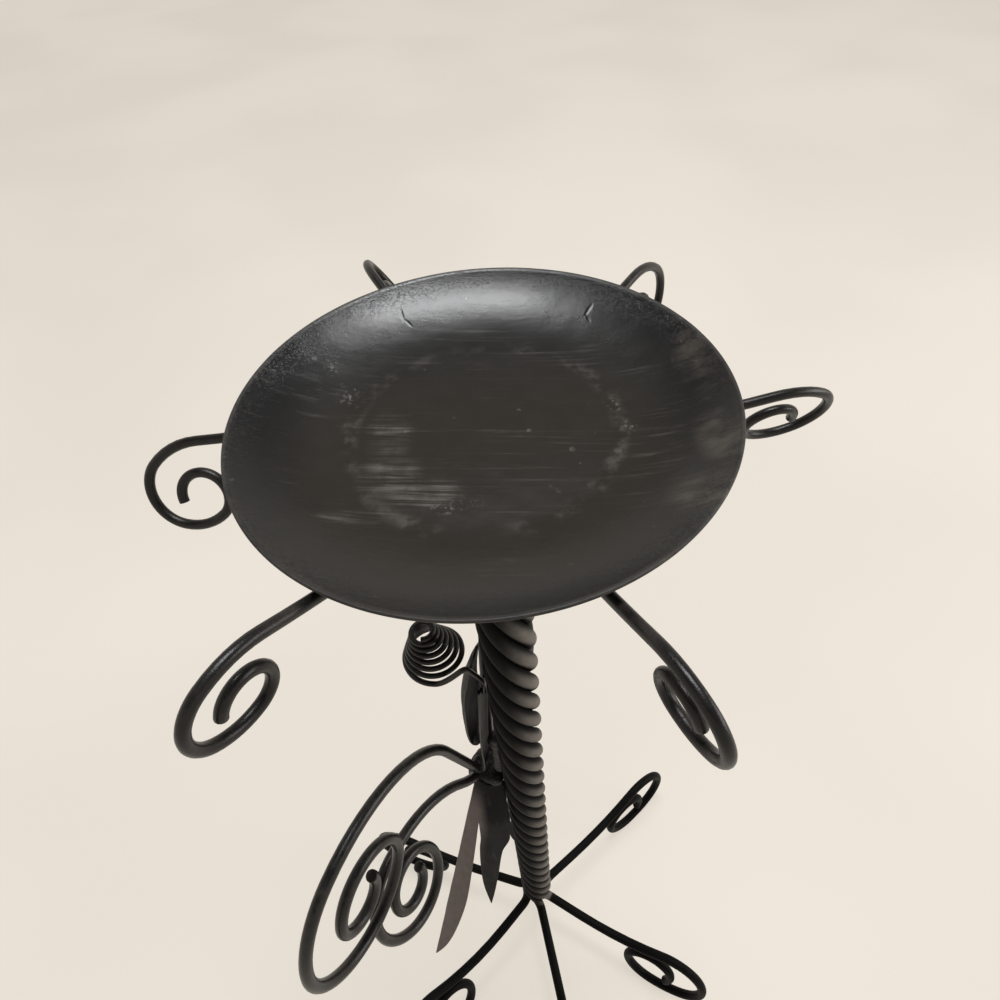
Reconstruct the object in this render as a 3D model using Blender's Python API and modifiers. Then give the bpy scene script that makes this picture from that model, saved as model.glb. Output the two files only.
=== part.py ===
"""Wrought-iron candle holder with an angel welded to its twisted column.

Lengths are in metres and angles in degrees. The origin is the centre of the dish's flat
floor, where the candle stands, and +Z is up. Azimuths are counted from +X towards +Y.
"""

import math

import bmesh
import bpy
from mathutils import Vector

# Dish
DISH_RADIUS = 0.060
DISH_DEPTH = 0.009
DISH_FLOOR_RADIUS = 0.030
DISH_SHEET = 0.0012
DISH_LIP = 0.0008
DISH_STEPS = 48
DISH_CURVE_STEPS = 5

# Gap left between two pieces that touch
SEAM = 0.0003

# Column of rods twisted round a core, whose lower ends become the legs
ROD_RADIUS = 0.0030
ROD_SPACING = 0.0011
TWIST_LENGTH_PER_TURN = 0.099
TWIST_STEPS = 10
COLUMN_LENGTH = 0.448
ROD_RESOLUTION = 2

# Legs, one to each rod: azimuth, lean to one side and size beside the pattern
LEGS = (
    (34.9, -4.2, 1.018),
    (97.0, 0.0, 1.0),
    (157.7, 2.7, 1.0),
    (219.4, 18.0, 1.0),
    (277.6, 1.4, 1.0),
    (326.8, -9.1, 0.981),
)
LEG_SPREAD_RADIUS = 0.015
LEG_SPREAD_DROP = 0.008
LEG_START_SLOPE = 5.8
LEG_HEIGHT = 0.0465
LEG_TWIST_IN = 26.0
LEG_SPREAD_STEPS = 4
LEG_SPREAD_PULL = 1.3
# Bends of a leg: each one's share of the rod's length and how far it turns, downwards first
LEG_ROD_LENGTH = 0.2635
LEG_BENDS = ((0.0797, -1.0), (0.2353, -28.0), (0.26, 172.0), (0.0873, 35.0), (0.0854, 57.0), (0.2523, 241.0))
LEG_BEND_STEP = 15.0

# Arms of thin wire under the dish
ARM_WIRE_RADIUS = 0.0014
ARM_ROOT_DROP = 0.024
ARM_STRAIGHT_REACH = 0.051
ARM_SPACE = 0.0036
# Each row is an arm's azimuth, lean, share of the space to the dish, slope and size
ARMS = (
    (168.6, 26.3, 1.0, 10.6, 1.06),
    (233.7, -3.9, 0.14, -22.5, 0.939),
    (292.5, 6.8, 0.58, -19.9, 0.922),
    (7.8, 20.0, 3.28, -3.9, 1.079),
    (51.3, -2.4, 0.75, 0.7, 1.18),
    (110.2, -30.0, 0.86, -11.0, 0.975),
)
ARM_SCROLL_LENGTH = 0.100
ARM_BENDS = ((0.245, -3.5), (0.15, 42.0), (0.21, 123.0), (0.12, 51.0), (0.275, 245.0))
ARM_BEND_STEP = 18.0

# Angel: it faces this azimuth. Its heights start at the gown's top edge, which hangs this
# far below the dish's floor, and its forward lengths start at the column's surface
ANGEL_AZIMUTH = 160.0
ANGEL_DROP = 0.227
SHEET = 0.0008

# Head: a cone of loops whose tail is the neck
HEAD_WIRE_RADIUS = 0.0010
HEAD_LOOPS = 7
HEAD_LOOP_POINTS = 24
HEAD_BASE_RADIUS = 0.0120
HEAD_TOP_RADIUS = 0.0028
HEAD_HEIGHT = 0.0175
HEAD_FORWARD = 0.0204
HEAD_LEAN = 0.0014
HEAD_BASE_RISE = 0.103
HEAD_TAIL_AZIMUTH = 105.0
# The neck bends beside the bodice's top and runs down between the column and the body strip
NECK_BEND_FORWARD = 0.0040
NECK_BEND_SIDE = 0.0078
NECK_BEND_RISE = 0.113
NECK_TURN_FORWARD = 0.0018
NECK_TURN_SIDE = 0.0030
NECK_TURN_RISE = 0.0975
NECK_OVERLAP = 0.0070
NECK_SPACE = 0.0002
NECK_STEPS = 6

# Bodice: rows from its top, each a share of its length, of its reach and of its half width
BODICE_TOP_RISE = 0.114
BODICE_LENGTH = 0.0865
BODICE_REACH = 0.0127
BODICE_HALF_WIDTH = 0.0090
BODICE_ROWS = (
    (0.0, 0.25, 0.24),
    (0.04, 0.36, 0.45),
    (0.11, 0.52, 0.65),
    (0.20, 0.69, 0.82),
    (0.32, 0.85, 0.95),
    (0.46, 0.94, 1.0),
    (0.62, 0.99, 0.98),
    (0.76, 1.0, 0.87),
    (0.885, 0.92, 0.66),
    (0.96, 0.81, 0.42),
    (1.0, 0.74, 0.25),
)
BODICE_CURVE_RADIUS = 0.0150
BODICE_COLUMNS = 6

# Body strip: the same kind of rows, from its notched top to its foot on the gown
BODY_TOP_RISE = 0.087
BODY_LENGTH = 0.080
BODY_REACH = 0.0087
BODY_HALF_WIDTH = 0.0058
BODY_ROWS = (
    (0.0, 0.45, 0.78),
    (0.19, 0.59, 1.0),
    (0.44, 0.77, 0.93),
    (0.75, 0.92, 0.62),
    (0.91, 0.93, 0.79),
    (1.0, 1.0, 1.0),
)
BODY_NOTCH = 0.0020
BODY_CURVE_RADIUS = 0.0140

# Gown: a sheet on a cone, cut into pointed strips that hang at each side
GOWN_TOP_RADIUS = 0.0082
GOWN_WRAP = 0.0003
GOWN_REAR_DROP = 0.0065
GOWN_FLARE = 0.314
GOWN_BAND_DROP = 0.006
GOWN_SLOT_DROP = 0.033
GOWN_REAR_SLOT_DROP = 0.052
GOWN_REAR_END_DROP = 0.0545
SIDE_STRIP_FLARE = 0.12
FRONT_EDGE_AZIMUTH = 60.0
FRONT_SLOT_AZIMUTH = 82.5
REAR_SLOT_AZIMUTH = 128.0
REAR_TAB_AZIMUTH = 134.0
SLOT_WIDTH = 0.0010
REAR_EDGE_EASE = 0.5
# Faces across each part of the gown: front strip, side strip, rear tab and front opening
FRONT_COLUMNS = 3
SIDE_COLUMNS = 4
TAB_COLUMNS = 2
OPENING_COLUMNS = 6
# Rows of a strip: share of its length below the slot, and the azimuths of its two edges
FRONT_STRIP_LENGTH = 0.163
FRONT_STRIP = (
    (0.104, 60.0, 80.0),
    (0.295, 60.0, 78.0),
    (0.472, 60.0, 76.0),
    (0.669, 60.0, 71.5),
    (0.847, 60.0, 66.5),
    (1.0, 60.0, 60.8),
)
SIDE_STRIP_LENGTH = 0.094
SIDE_STRIP = (
    (0.138, 80.5, 113.0),
    (0.479, 79.5, 102.0),
    (0.734, 81.5, 95.5),
    (1.0, 88.0, 89.0),
)

# Wings: round rods with flat ends, rolled into scrolls
WING_ROD_RADIUS = 0.0023
WING_ROOT_FORWARD = 0.0103
WING_ROOT_SIDE = 0.0078
WING_ROOT_RISE = 0.0134
WING_ROOT_SPACING = 0.0048
WING_ROOT_SHIFT = 0.0015
NEAR_WING_SWEEP = 80.0
FAR_WING_SWEEP = 88.0
FAR_WING_DIP = 8.0
FAR_WING_BACK = 0.0018
UPPER_WING_LEAN = 5.0
UPPER_WING_START = 75.0
UPPER_WING_LENGTH = 0.3335
UPPER_WING_BENDS = (
    (0.1349, 0.5),
    (0.2519, 89.0),
    (0.1065, 61.0),
    (0.2234, 163.0),
    (0.1724, 191.0),
    (0.1109, 216.0),
)
LOWER_WING_LEAN = 17.0
LOWER_WING_START = 35.0
LOWER_WING_LENGTH = 0.2335
LOWER_WING_BENDS = (
    (0.0535, -19.5),
    (0.227, 56.0),
    (0.2355, 140.0),
    (0.2099, 155.0),
    (0.1435, 146.0),
    (0.1306, 198.0),
)
WING_BEND_STEP = 16.0

# Weld beads where the wings meet the body strip
BEAD_RADIUS = 0.0016
BEAD_STRETCH = 1.6
BEAD_SEGMENTS = 12
BEAD_RINGS = 8

# What follows from the sizes above
ROD_COUNT = len(LEGS)
ROD_PITCH_RADIUS = (2 * ROD_RADIUS + ROD_SPACING) / (2 * math.sin(math.pi / ROD_COUNT))
COLUMN_TOP = -DISH_SHEET - SEAM
COLUMN_BOTTOM = COLUMN_TOP - COLUMN_LENGTH
COLUMN_RADIUS = ROD_PITCH_RADIUS + ROD_RADIUS
CORE_RADIUS = ROD_PITCH_RADIUS * math.cos(math.pi / TWIST_STEPS) - ROD_RADIUS - SEAM
# A twisted rod's flat top slants, so it starts lower than the core by its own tilt
ROD_LAY = math.atan(math.tau * ROD_PITCH_RADIUS / TWIST_LENGTH_PER_TURN)
ROD_TOP = COLUMN_TOP - ROD_RADIUS * math.sin(ROD_LAY)
TWIST_LENGTH = ROD_TOP - COLUMN_BOTTOM
# The gown's ring is centred so that it just wraps on to the column
GOWN_AXIS_FORWARD = GOWN_TOP_RADIUS - GOWN_WRAP


def clear_scene():
    """Remove every object of the open scene."""
    for thing in list(bpy.data.objects):
        bpy.data.objects.remove(thing, do_unlink=True)


def new_collection(name):
    """Return an empty collection linked to the scene."""
    collection = bpy.data.collections.new(name)
    bpy.context.scene.collection.children.link(collection)
    return collection


def iron(name, colour, roughness, metallic):
    """Return a painted iron material."""
    material = bpy.data.materials.new(name)
    material.use_nodes = True
    shader = material.node_tree.nodes["Principled BSDF"]
    shader.inputs["Base Color"].default_value = (*colour, 1.0)
    shader.inputs["Roughness"].default_value = roughness
    shader.inputs["Metallic"].default_value = metallic
    return material


def add_mesh(name, mesh, material, collection, parent=None):
    """Place a finished mesh as one named piece."""
    piece = bpy.data.objects.new(name, mesh)
    piece.data.materials.append(material)
    piece.parent = parent
    collection.objects.link(piece)
    return piece


def add_wire(name, points, radius, material, collection, parent=None, resolution=2):
    """Make a capped tube along the points as a poly curve."""
    curve = bpy.data.curves.new(name, "CURVE")
    curve.dimensions = "3D"
    curve.bevel_depth = radius
    curve.bevel_resolution = resolution
    curve.use_fill_caps = True
    spline = curve.splines.new("POLY")
    spline.points.add(len(points) - 1)
    for spot, point in zip(spline.points, points):
        spot.co = (*point, 1.0)
    spline.use_smooth = True
    wire = bpy.data.objects.new(name, curve)
    wire.data.materials.append(material)
    wire.parent = parent
    collection.objects.link(wire)
    return wire


def circle_point(radius, azimuth, height):
    """Return the point at a radius and azimuth round the Z axis."""
    angle = math.radians(azimuth)
    return Vector((radius * math.cos(angle), radius * math.sin(angle), height))


def bend_path(length, bends, start_slope, step):
    """Return (out, down) points along a rod of this length rolled in one plane.

    Each bend is a share of the length and how far it turns, where a positive turn is
    downwards from the outward direction.
    """
    out, down, slope = 0.0, 0.0, math.radians(start_slope)
    path = [(out, down)]
    for share, turn in bends:
        pieces = max(2, math.ceil(abs(turn) / step))
        part_turn = math.radians(turn) / pieces
        chord = length * share / pieces
        if part_turn:
            chord *= math.sin(part_turn / 2) / (part_turn / 2)
        for _ in range(pieces):
            out += chord * math.cos(slope + part_turn / 2)
            down += chord * math.sin(slope + part_turn / 2)
            slope += part_turn
            path.append((out, down))
    return path


def stand_up(path, start, azimuth, lean):
    """Place (out, down) points in an upright plane that leans about its outward line."""
    outward = circle_point(1.0, azimuth, 0.0)
    aside = circle_point(1.0, azimuth + 90.0, 0.0)
    tilt = math.radians(lean)
    downward = aside * math.sin(tilt) - Vector((0.0, 0.0, math.cos(tilt)))
    return [start + outward * out + downward * down for out, down in path]


def hermite(start, start_pull, end, end_pull, pieces):
    """Return the inner points of a smooth run between two directed ends."""
    points = []
    for index in range(1, pieces):
        t = index / pieces
        points.append(
            start * (2 * t**3 - 3 * t**2 + 1)
            + start_pull * (t**3 - 2 * t**2 + t)
            + end * (3 * t**2 - 2 * t**3)
            + end_pull * (t**3 - t**2)
        )
    return points


def dish_height(radius):
    """Return the height of the dish's upper face at a radius."""
    if radius <= DISH_FLOOR_RADIUS:
        return 0.0
    width = DISH_RADIUS - DISH_FLOOR_RADIUS
    sweep_radius = (width**2 + DISH_DEPTH**2) / (2 * DISH_DEPTH)
    return sweep_radius - math.sqrt(sweep_radius**2 - (radius - DISH_FLOOR_RADIUS) ** 2)


def make_dish(collection):
    """Turn the shallow candle dish with its flat floor and its small lip."""
    width = DISH_RADIUS - DISH_FLOOR_RADIUS
    radii = [DISH_FLOOR_RADIUS + width * i / DISH_CURVE_STEPS for i in range(DISH_CURVE_STEPS + 1)]
    profile = [(0.0, 0.0)] + [(radius, dish_height(radius)) for radius in radii]
    profile.append((DISH_RADIUS + DISH_LIP, DISH_DEPTH - DISH_LIP / 2))
    profile += [(radius, dish_height(radius) - DISH_SHEET) for radius in reversed(radii)]
    profile.append((0.0, -DISH_SHEET))
    mesh = bpy.data.meshes.new("candle_dish")
    shape = bmesh.new()
    corners = [shape.verts.new((radius, 0.0, height)) for radius, height in profile]
    for first, second in zip(corners, corners[1:]):
        shape.edges.new((first, second))
    shape.to_mesh(mesh)
    shape.free()
    dish = add_mesh("candle_dish", mesh, iron("dish_iron", (0.030, 0.028, 0.026), 0.45, 0.3), collection)
    screw = dish.modifiers.new("turn", "SCREW")
    screw.steps = DISH_STEPS
    screw.render_steps = DISH_STEPS
    screw.use_merge_vertices = True
    screw.merge_threshold = 0.00001
    screw.use_smooth_shade = False
    return dish


def column_rod_points(index):
    """Return the centre line of one rod, from the dish down the twist into its scroll foot."""
    azimuth, lean, size = LEGS[index]
    lead_in = azimuth_of_rod(index)
    turns = TWIST_LENGTH / TWIST_LENGTH_PER_TURN
    steps = math.ceil(turns * TWIST_STEPS)
    points = []
    for step in range(steps + 1):
        share = step / steps
        turn = -360.0 * turns * (1.0 - share)
        points.append(circle_point(ROD_PITCH_RADIUS, lead_in + turn, ROD_TOP - TWIST_LENGTH * share))
    last = points[-1]
    spread = circle_point(LEG_SPREAD_RADIUS, azimuth, COLUMN_BOTTOM - LEG_SPREAD_DROP)
    flat = bend_path(LEG_ROD_LENGTH * size, LEG_BENDS, LEG_START_SLOPE, LEG_BEND_STEP)
    # Each foot is set to the same floor: the lowest bend ends at the leg's height
    foot_drop = (LEG_HEIGHT - LEG_SPREAD_DROP) / math.cos(math.radians(lean))
    stretch = foot_drop / max(down for _, down in flat)
    path = stand_up([(out, down * stretch) for out, down in flat], spread, azimuth, lean)
    pull = (spread - last).length * LEG_SPREAD_PULL
    helix_down = (points[-1] - points[-2]).normalized()
    leg_out = (path[1] - path[0]).normalized()
    points += hermite(last, helix_down * pull, spread, leg_out * pull, LEG_SPREAD_STEPS)
    return points + path


def azimuth_of_rod(index):
    """Return where a rod leaves the twist: evenly spaced, just before its leg's azimuth."""
    return LEGS[0][0] + 360.0 * index / ROD_COUNT - LEG_TWIST_IN


def make_column(collection):
    """Make the core and the twisted rods that end as the scroll feet."""
    paint = iron("column_iron", (0.030, 0.030, 0.033), 0.42, 0.4)
    core = [Vector((0.0, 0.0, COLUMN_TOP)), Vector((0.0, 0.0, COLUMN_BOTTOM))]
    add_wire("column_core", core, CORE_RADIUS, paint, collection)
    for index in range(ROD_COUNT):
        points = column_rod_points(index)
        add_wire(f"column_rod_{index + 1}", points, ROD_RADIUS, paint, collection, None, ROD_RESOLUTION)


def stem_points(root, reach, slope):
    """Return (out, down) points of the arc from the column to the arm's reach, ending on its slope."""
    out, down = reach[0] - root[0], reach[1] - root[1]
    chord = math.hypot(out, down)
    chord_slope = math.atan2(down, out)
    half_turn = math.radians(slope) - chord_slope
    pieces = max(2, math.ceil(abs(math.degrees(half_turn)) * 2 / ARM_BEND_STEP))
    points = []
    heading = chord_slope - half_turn
    length = chord * (half_turn / math.sin(half_turn) if half_turn else 1.0)
    part = 2 * half_turn / pieces
    piece = length / pieces * (math.sin(part / 2) / (part / 2) if part else 1.0)
    spot = list(root)
    for _ in range(pieces):
        points.append(tuple(spot))
        spot[0] += piece * math.cos(heading + part / 2)
        spot[1] += piece * math.sin(heading + part / 2)
        heading += part
    return points


def crest_drop(azimuth, drop):
    """Return the drop nearest to the given one where a twisted rod's crest faces this azimuth."""
    per_degree = TWIST_LENGTH_PER_TURN / 360.0
    one_rod = TWIST_LENGTH_PER_TURN / ROD_COUNT
    height = COLUMN_BOTTOM + per_degree * (azimuth_of_rod(0) - azimuth)
    return -height - one_rod * round((-height - drop) / one_rod)


def make_arms(collection):
    """Make the wire arms that run out from the column under the dish and end in scrolls."""
    paint = iron("arm_iron", (0.028, 0.028, 0.030), 0.4, 0.4)
    under_dish = dish_height(ARM_STRAIGHT_REACH) - DISH_SHEET - SEAM - ARM_WIRE_RADIUS
    for index, (azimuth, lean, space, slope, size) in enumerate(ARMS):
        reach_height = under_dish - ARM_SPACE * space
        drop = crest_drop(azimuth, ARM_ROOT_DROP)
        # The root's flat end meets the rod at the stem's own slant
        rise = math.atan2(drop + reach_height, ARM_STRAIGHT_REACH - COLUMN_RADIUS)
        slant = abs(math.sin(2 * rise + math.radians(slope)))
        root = (COLUMN_RADIUS + SEAM + ARM_WIRE_RADIUS * slant, drop)
        stem = stem_points(root, (ARM_STRAIGHT_REACH, -reach_height), slope)
        points = [circle_point(out, azimuth, -down) for out, down in stem]
        start = circle_point(ARM_STRAIGHT_REACH, azimuth, reach_height)
        scroll = bend_path(ARM_SCROLL_LENGTH * size, ARM_BENDS, slope, ARM_BEND_STEP)
        points += stand_up(scroll, start, azimuth, lean)
        add_wire(f"dish_arm_{index + 1}", points, ARM_WIRE_RADIUS, paint, collection, None, 1)


def loop_gap(points):
    """Return the least gap between turns of the head's wire."""
    least = 1.0
    for index, point in enumerate(points):
        for other in points[index + HEAD_LOOP_POINTS // 2 :]:
            least = min(least, (point - other).length)
    return least - 2 * HEAD_WIRE_RADIUS


def sheet_row(rows, top_rise, length, reach, half_width, index):
    """Return one row of a sheet as its rise, forward place and half width."""
    down, forward, wide = rows[index]
    return top_rise - down * length, forward * reach, wide * half_width


def body_row(index):
    """Return one row of the body strip."""
    return sheet_row(BODY_ROWS, BODY_TOP_RISE, BODY_LENGTH, BODY_REACH, BODY_HALF_WIDTH, index)


def body_forward(rise):
    """Return how far forward the middle of the body strip stands at a rise."""
    for index in range(len(BODY_ROWS) - 1):
        upper, lower = body_row(index), body_row(index + 1)
        if rise >= lower[0]:
            share = (upper[0] - rise) / (upper[0] - lower[0])
            return upper[1] + (lower[1] - upper[1]) * share
    return lower[1]


def neck_point(rise):
    """Return where the neck wire runs down behind the body strip."""
    behind = body_forward(rise) - SHEET / 2 - SEAM - NECK_SPACE - HEAD_WIRE_RADIUS
    return Vector((behind, 0.0, rise))


def make_head(collection, angel):
    """Wind the head's cone of wire and lead its tail down as the neck."""
    count = HEAD_LOOPS * HEAD_LOOP_POINTS
    base = Vector((HEAD_FORWARD, 0.0, HEAD_BASE_RISE))
    points = []
    for index in range(count + 1):
        share = index / count
        radius = HEAD_TOP_RADIUS + (HEAD_BASE_RADIUS - HEAD_TOP_RADIUS) * share
        azimuth = HEAD_TAIL_AZIMUTH + 360.0 * HEAD_LOOPS * (share - 1.0)
        rise = 1.0 - share
        centre = base + Vector((HEAD_LEAN * rise, 0.0, HEAD_HEIGHT * rise))
        points.append(centre + circle_point(radius, azimuth, 0.0))
    print(f"head: least gap between loops {loop_gap(points) * 1000:.2f} mm")
    leave = (points[-1] - points[-2]).normalized()
    bend = Vector((NECK_BEND_FORWARD, NECK_BEND_SIDE, NECK_BEND_RISE))
    turn = Vector((NECK_TURN_FORWARD, NECK_TURN_SIDE, NECK_TURN_RISE))
    run = (bend - points[-1]).length
    points += hermite(points[-1], leave * run, bend, (turn - bend).normalized() * run, NECK_STEPS)
    points += [bend, turn, neck_point(BODY_TOP_RISE), neck_point(BODY_TOP_RISE - NECK_OVERLAP)]
    paint = iron("head_iron", (0.030, 0.029, 0.028), 0.4, 0.4)
    add_wire("angel_head", points, HEAD_WIRE_RADIUS, paint, collection, angel, 1)


def across(rise, forward, half_width, curve_radius, columns):
    """Return one row of sheet points, bowed forward in the middle."""
    row = []
    for column in range(columns + 1):
        side = half_width * (1.0 - 2.0 * column / columns)
        bow = curve_radius - math.sqrt(max(curve_radius**2 - side**2, 0.0))
        row.append(Vector((forward - bow, side, rise)))
    return row


def hang_rows(shape, top, rows):
    """Add faces from a row of corners down through rows of points, and return the last corners."""
    for row in rows:
        corners = [shape.verts.new(point) for point in row]
        for left in range(len(corners) - 1):
            shape.faces.new((top[left], top[left + 1], corners[left + 1], corners[left]))
        top = corners
    return top


def add_sheet(name, shape, material, collection, parent):
    """Give an open sheet its thickness, half to each side."""
    bmesh.ops.recalc_face_normals(shape, faces=shape.faces)
    mesh = bpy.data.meshes.new(name)
    shape.to_mesh(mesh)
    shape.free()
    sheet = add_mesh(name, mesh, material, collection, parent)
    solid = sheet.modifiers.new("thickness", "SOLIDIFY")
    solid.thickness = SHEET
    solid.offset = 0.0
    solid.use_even_offset = True
    return sheet


def make_bodice(collection, angel):
    """Make the small dished oval sheet of the angel's chest."""
    shape = bmesh.new()
    rows = []
    for index in range(len(BODICE_ROWS)):
        row = sheet_row(BODICE_ROWS, BODICE_TOP_RISE, BODICE_LENGTH, BODICE_REACH, BODICE_HALF_WIDTH, index)
        rows.append(across(*row, BODICE_CURVE_RADIUS, BODICE_COLUMNS))
    top = [shape.verts.new(point) for point in rows[0]]
    hang_rows(shape, top, rows[1:])
    add_sheet("angel_bodice", shape, iron("bodice_iron", (0.030, 0.031, 0.036), 0.4, 0.4), collection, angel)


def gown_radius(drop):
    """Return the gown's radius on its cone."""
    return GOWN_TOP_RADIUS + GOWN_FLARE * drop


def side_radius(drop):
    """Return the radius of the side strips, which hang straighter below the slots."""
    return gown_radius(GOWN_SLOT_DROP) + SIDE_STRIP_FLARE * (drop - GOWN_SLOT_DROP)


def rear_azimuth(radius):
    """Return where the gown, at this radius, comes up to the column."""
    near = COLUMN_RADIUS + SHEET / 2 + SEAM
    axis = COLUMN_RADIUS + GOWN_AXIS_FORWARD
    cosine = (near**2 - axis**2 - radius**2) / (2 * axis * radius)
    return math.degrees(math.acos(cosine)) - REAR_EDGE_EASE


def gown_point(azimuth, radius, drop):
    """Return a point of the gown about its own axis."""
    return Vector((GOWN_AXIS_FORWARD, 0.0, 0.0)) + circle_point(radius, azimuth, -drop)


def spread_between(first, last, count):
    """Return evenly spaced values with both ends."""
    return [first + (last - first) * index / count for index in range(count + 1)]


def side_azimuths(radius, rear_end):
    """Return the azimuths of one side's corners from the front edge to the rear end."""
    half_slot = math.degrees(SLOT_WIDTH / 2 / radius)
    front = spread_between(FRONT_EDGE_AZIMUTH, FRONT_SLOT_AZIMUTH - half_slot, FRONT_COLUMNS)
    side = spread_between(FRONT_SLOT_AZIMUTH + half_slot, REAR_SLOT_AZIMUTH - half_slot, SIDE_COLUMNS)
    tab = spread_between(REAR_SLOT_AZIMUTH + half_slot, rear_end, TAB_COLUMNS)
    return front + side + tab


def top_drop(azimuth):
    """Return the drop of the gown's top edge, which falls towards the column."""
    share = max(0.0, (abs(azimuth) - FRONT_EDGE_AZIMUTH) / (180.0 - FRONT_EDGE_AZIMUTH))
    return GOWN_REAR_DROP * share


def make_gown(collection, angel):
    """Cut the body strip and the gown's hanging strips from one sheet."""
    shape = bmesh.new()
    near = side_azimuths(GOWN_TOP_RADIUS, rear_azimuth(GOWN_TOP_RADIUS))
    front = spread_between(FRONT_EDGE_AZIMUTH, -FRONT_EDGE_AZIMUTH, OPENING_COLUMNS)[1:-1]
    ring = list(reversed(near)) + front + [-azimuth for azimuth in near]
    top = [shape.verts.new(gown_point(azimuth, GOWN_TOP_RADIUS, top_drop(azimuth))) for azimuth in ring]
    band_radius = gown_radius(GOWN_BAND_DROP)
    near = side_azimuths(band_radius, rear_azimuth(band_radius))
    ring = list(reversed(near)) + front + [-azimuth for azimuth in near]
    band_drops = [GOWN_BAND_DROP + top_drop(azimuth) for azimuth in ring]
    band = hang_rows(shape, top, [[gown_point(a, band_radius, d) for a, d in zip(ring, band_drops)]])
    count = len(near)
    hang_side(shape, list(reversed(band[:count])), 1.0)
    hang_side(shape, band[-count:], -1.0)
    raise_body(shape, top[count - 1 : len(top) - count + 1])
    paint = iron("gown_iron", (0.034, 0.033, 0.033), 0.42, 0.4)
    add_sheet("angel_body_and_gown", shape, paint, collection, angel)


def hang_side(shape, band, side):
    """Hang one side's strips from the band: side is 1 for the near side and -1 for the far one."""
    drop = GOWN_SLOT_DROP
    radius = gown_radius(drop)
    row = [gown_point(side * azimuth, radius, drop) for azimuth in side_azimuths(radius, REAR_TAB_AZIMUTH)]
    slot = hang_rows(shape, band, [row])
    strip = slot[: FRONT_COLUMNS + 1]
    rows = []
    for share, first, last in FRONT_STRIP:
        drop = GOWN_SLOT_DROP + FRONT_STRIP_LENGTH * share
        azimuths = spread_between(first, last, FRONT_COLUMNS)
        rows.append([gown_point(side * azimuth, gown_radius(drop), drop) for azimuth in azimuths])
    hang_rows(shape, strip, rows)
    drop = GOWN_REAR_SLOT_DROP
    radius = side_radius(drop)
    azimuths = side_azimuths(radius, REAR_TAB_AZIMUTH)[FRONT_COLUMNS + 1 :]
    row = [gown_point(side * azimuth, radius, drop) for azimuth in azimuths]
    rear = hang_rows(shape, slot[FRONT_COLUMNS + 1 :], [row])
    rows = []
    for share, first, last in SIDE_STRIP:
        drop = GOWN_REAR_SLOT_DROP + SIDE_STRIP_LENGTH * share
        azimuths = spread_between(first, last, SIDE_COLUMNS)
        rows.append([gown_point(side * azimuth, side_radius(drop), drop) for azimuth in azimuths])
    hang_rows(shape, rear[: SIDE_COLUMNS + 1], rows)
    drop = GOWN_REAR_END_DROP
    radius = side_radius(drop)
    azimuths = side_azimuths(radius, REAR_TAB_AZIMUTH)[-TAB_COLUMNS - 1 :]
    row = [gown_point(side * azimuth, radius, drop) for azimuth in azimuths]
    hang_rows(shape, rear[SIDE_COLUMNS + 1 :], [row])


def raise_body(shape, waist):
    """Raise the hourglass body strip from the gown's front, up to its notched top."""
    rows = []
    for index in reversed(range(len(BODY_ROWS))):
        rows.append(across(*body_row(index), BODY_CURVE_RADIUS, OPENING_COLUMNS))
    middle = OPENING_COLUMNS // 2
    rows[-1][middle].z -= BODY_NOTCH
    hang_rows(shape, waist, rows)


def wing_points(side, sweep, root, lean, start, length, bends):
    """Return a wing rod's centre line: side is 1 for the near wing and -1 for the far one."""
    outward = circle_point(1.0, sweep, 0.0)
    tilt = math.radians(lean)
    upward = circle_point(math.sin(tilt), sweep - 90.0, math.cos(tilt))
    points = []
    for out, down in bend_path(length, bends, -start, WING_BEND_STEP):
        point = root + outward * out - upward * down
        points.append(Vector((point.x, side * point.y, point.z)))
    return points


def make_wings(collection, angel):
    """Make the upper and the lower scroll of each wing."""
    paint = iron("wing_iron", (0.032, 0.031, 0.030), 0.45, 0.4)
    # The far wing sits a little further back and lower than the near one
    near = ("near", 1.0, NEAR_WING_SWEEP, 0.0, 0.0)
    far = ("far", -1.0, FAR_WING_SWEEP, FAR_WING_DIP, FAR_WING_BACK)
    for label, side, sweep, dip, back in (near, far):
        root = Vector((WING_ROOT_FORWARD - back, WING_ROOT_SIDE, WING_ROOT_RISE))
        start = UPPER_WING_START - dip
        upper = wing_points(side, sweep, root, UPPER_WING_LEAN, start, UPPER_WING_LENGTH, UPPER_WING_BENDS)
        root += Vector((0.0, WING_ROOT_SHIFT, -WING_ROOT_SPACING))
        start = LOWER_WING_START - dip
        lower = wing_points(side, sweep, root, LOWER_WING_LEAN, start, LOWER_WING_LENGTH, LOWER_WING_BENDS)
        add_wire(f"wing_{label}_upper", upper, WING_ROD_RADIUS, paint, collection, angel)
        add_wire(f"wing_{label}_lower", lower, WING_ROD_RADIUS, paint, collection, angel)


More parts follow.
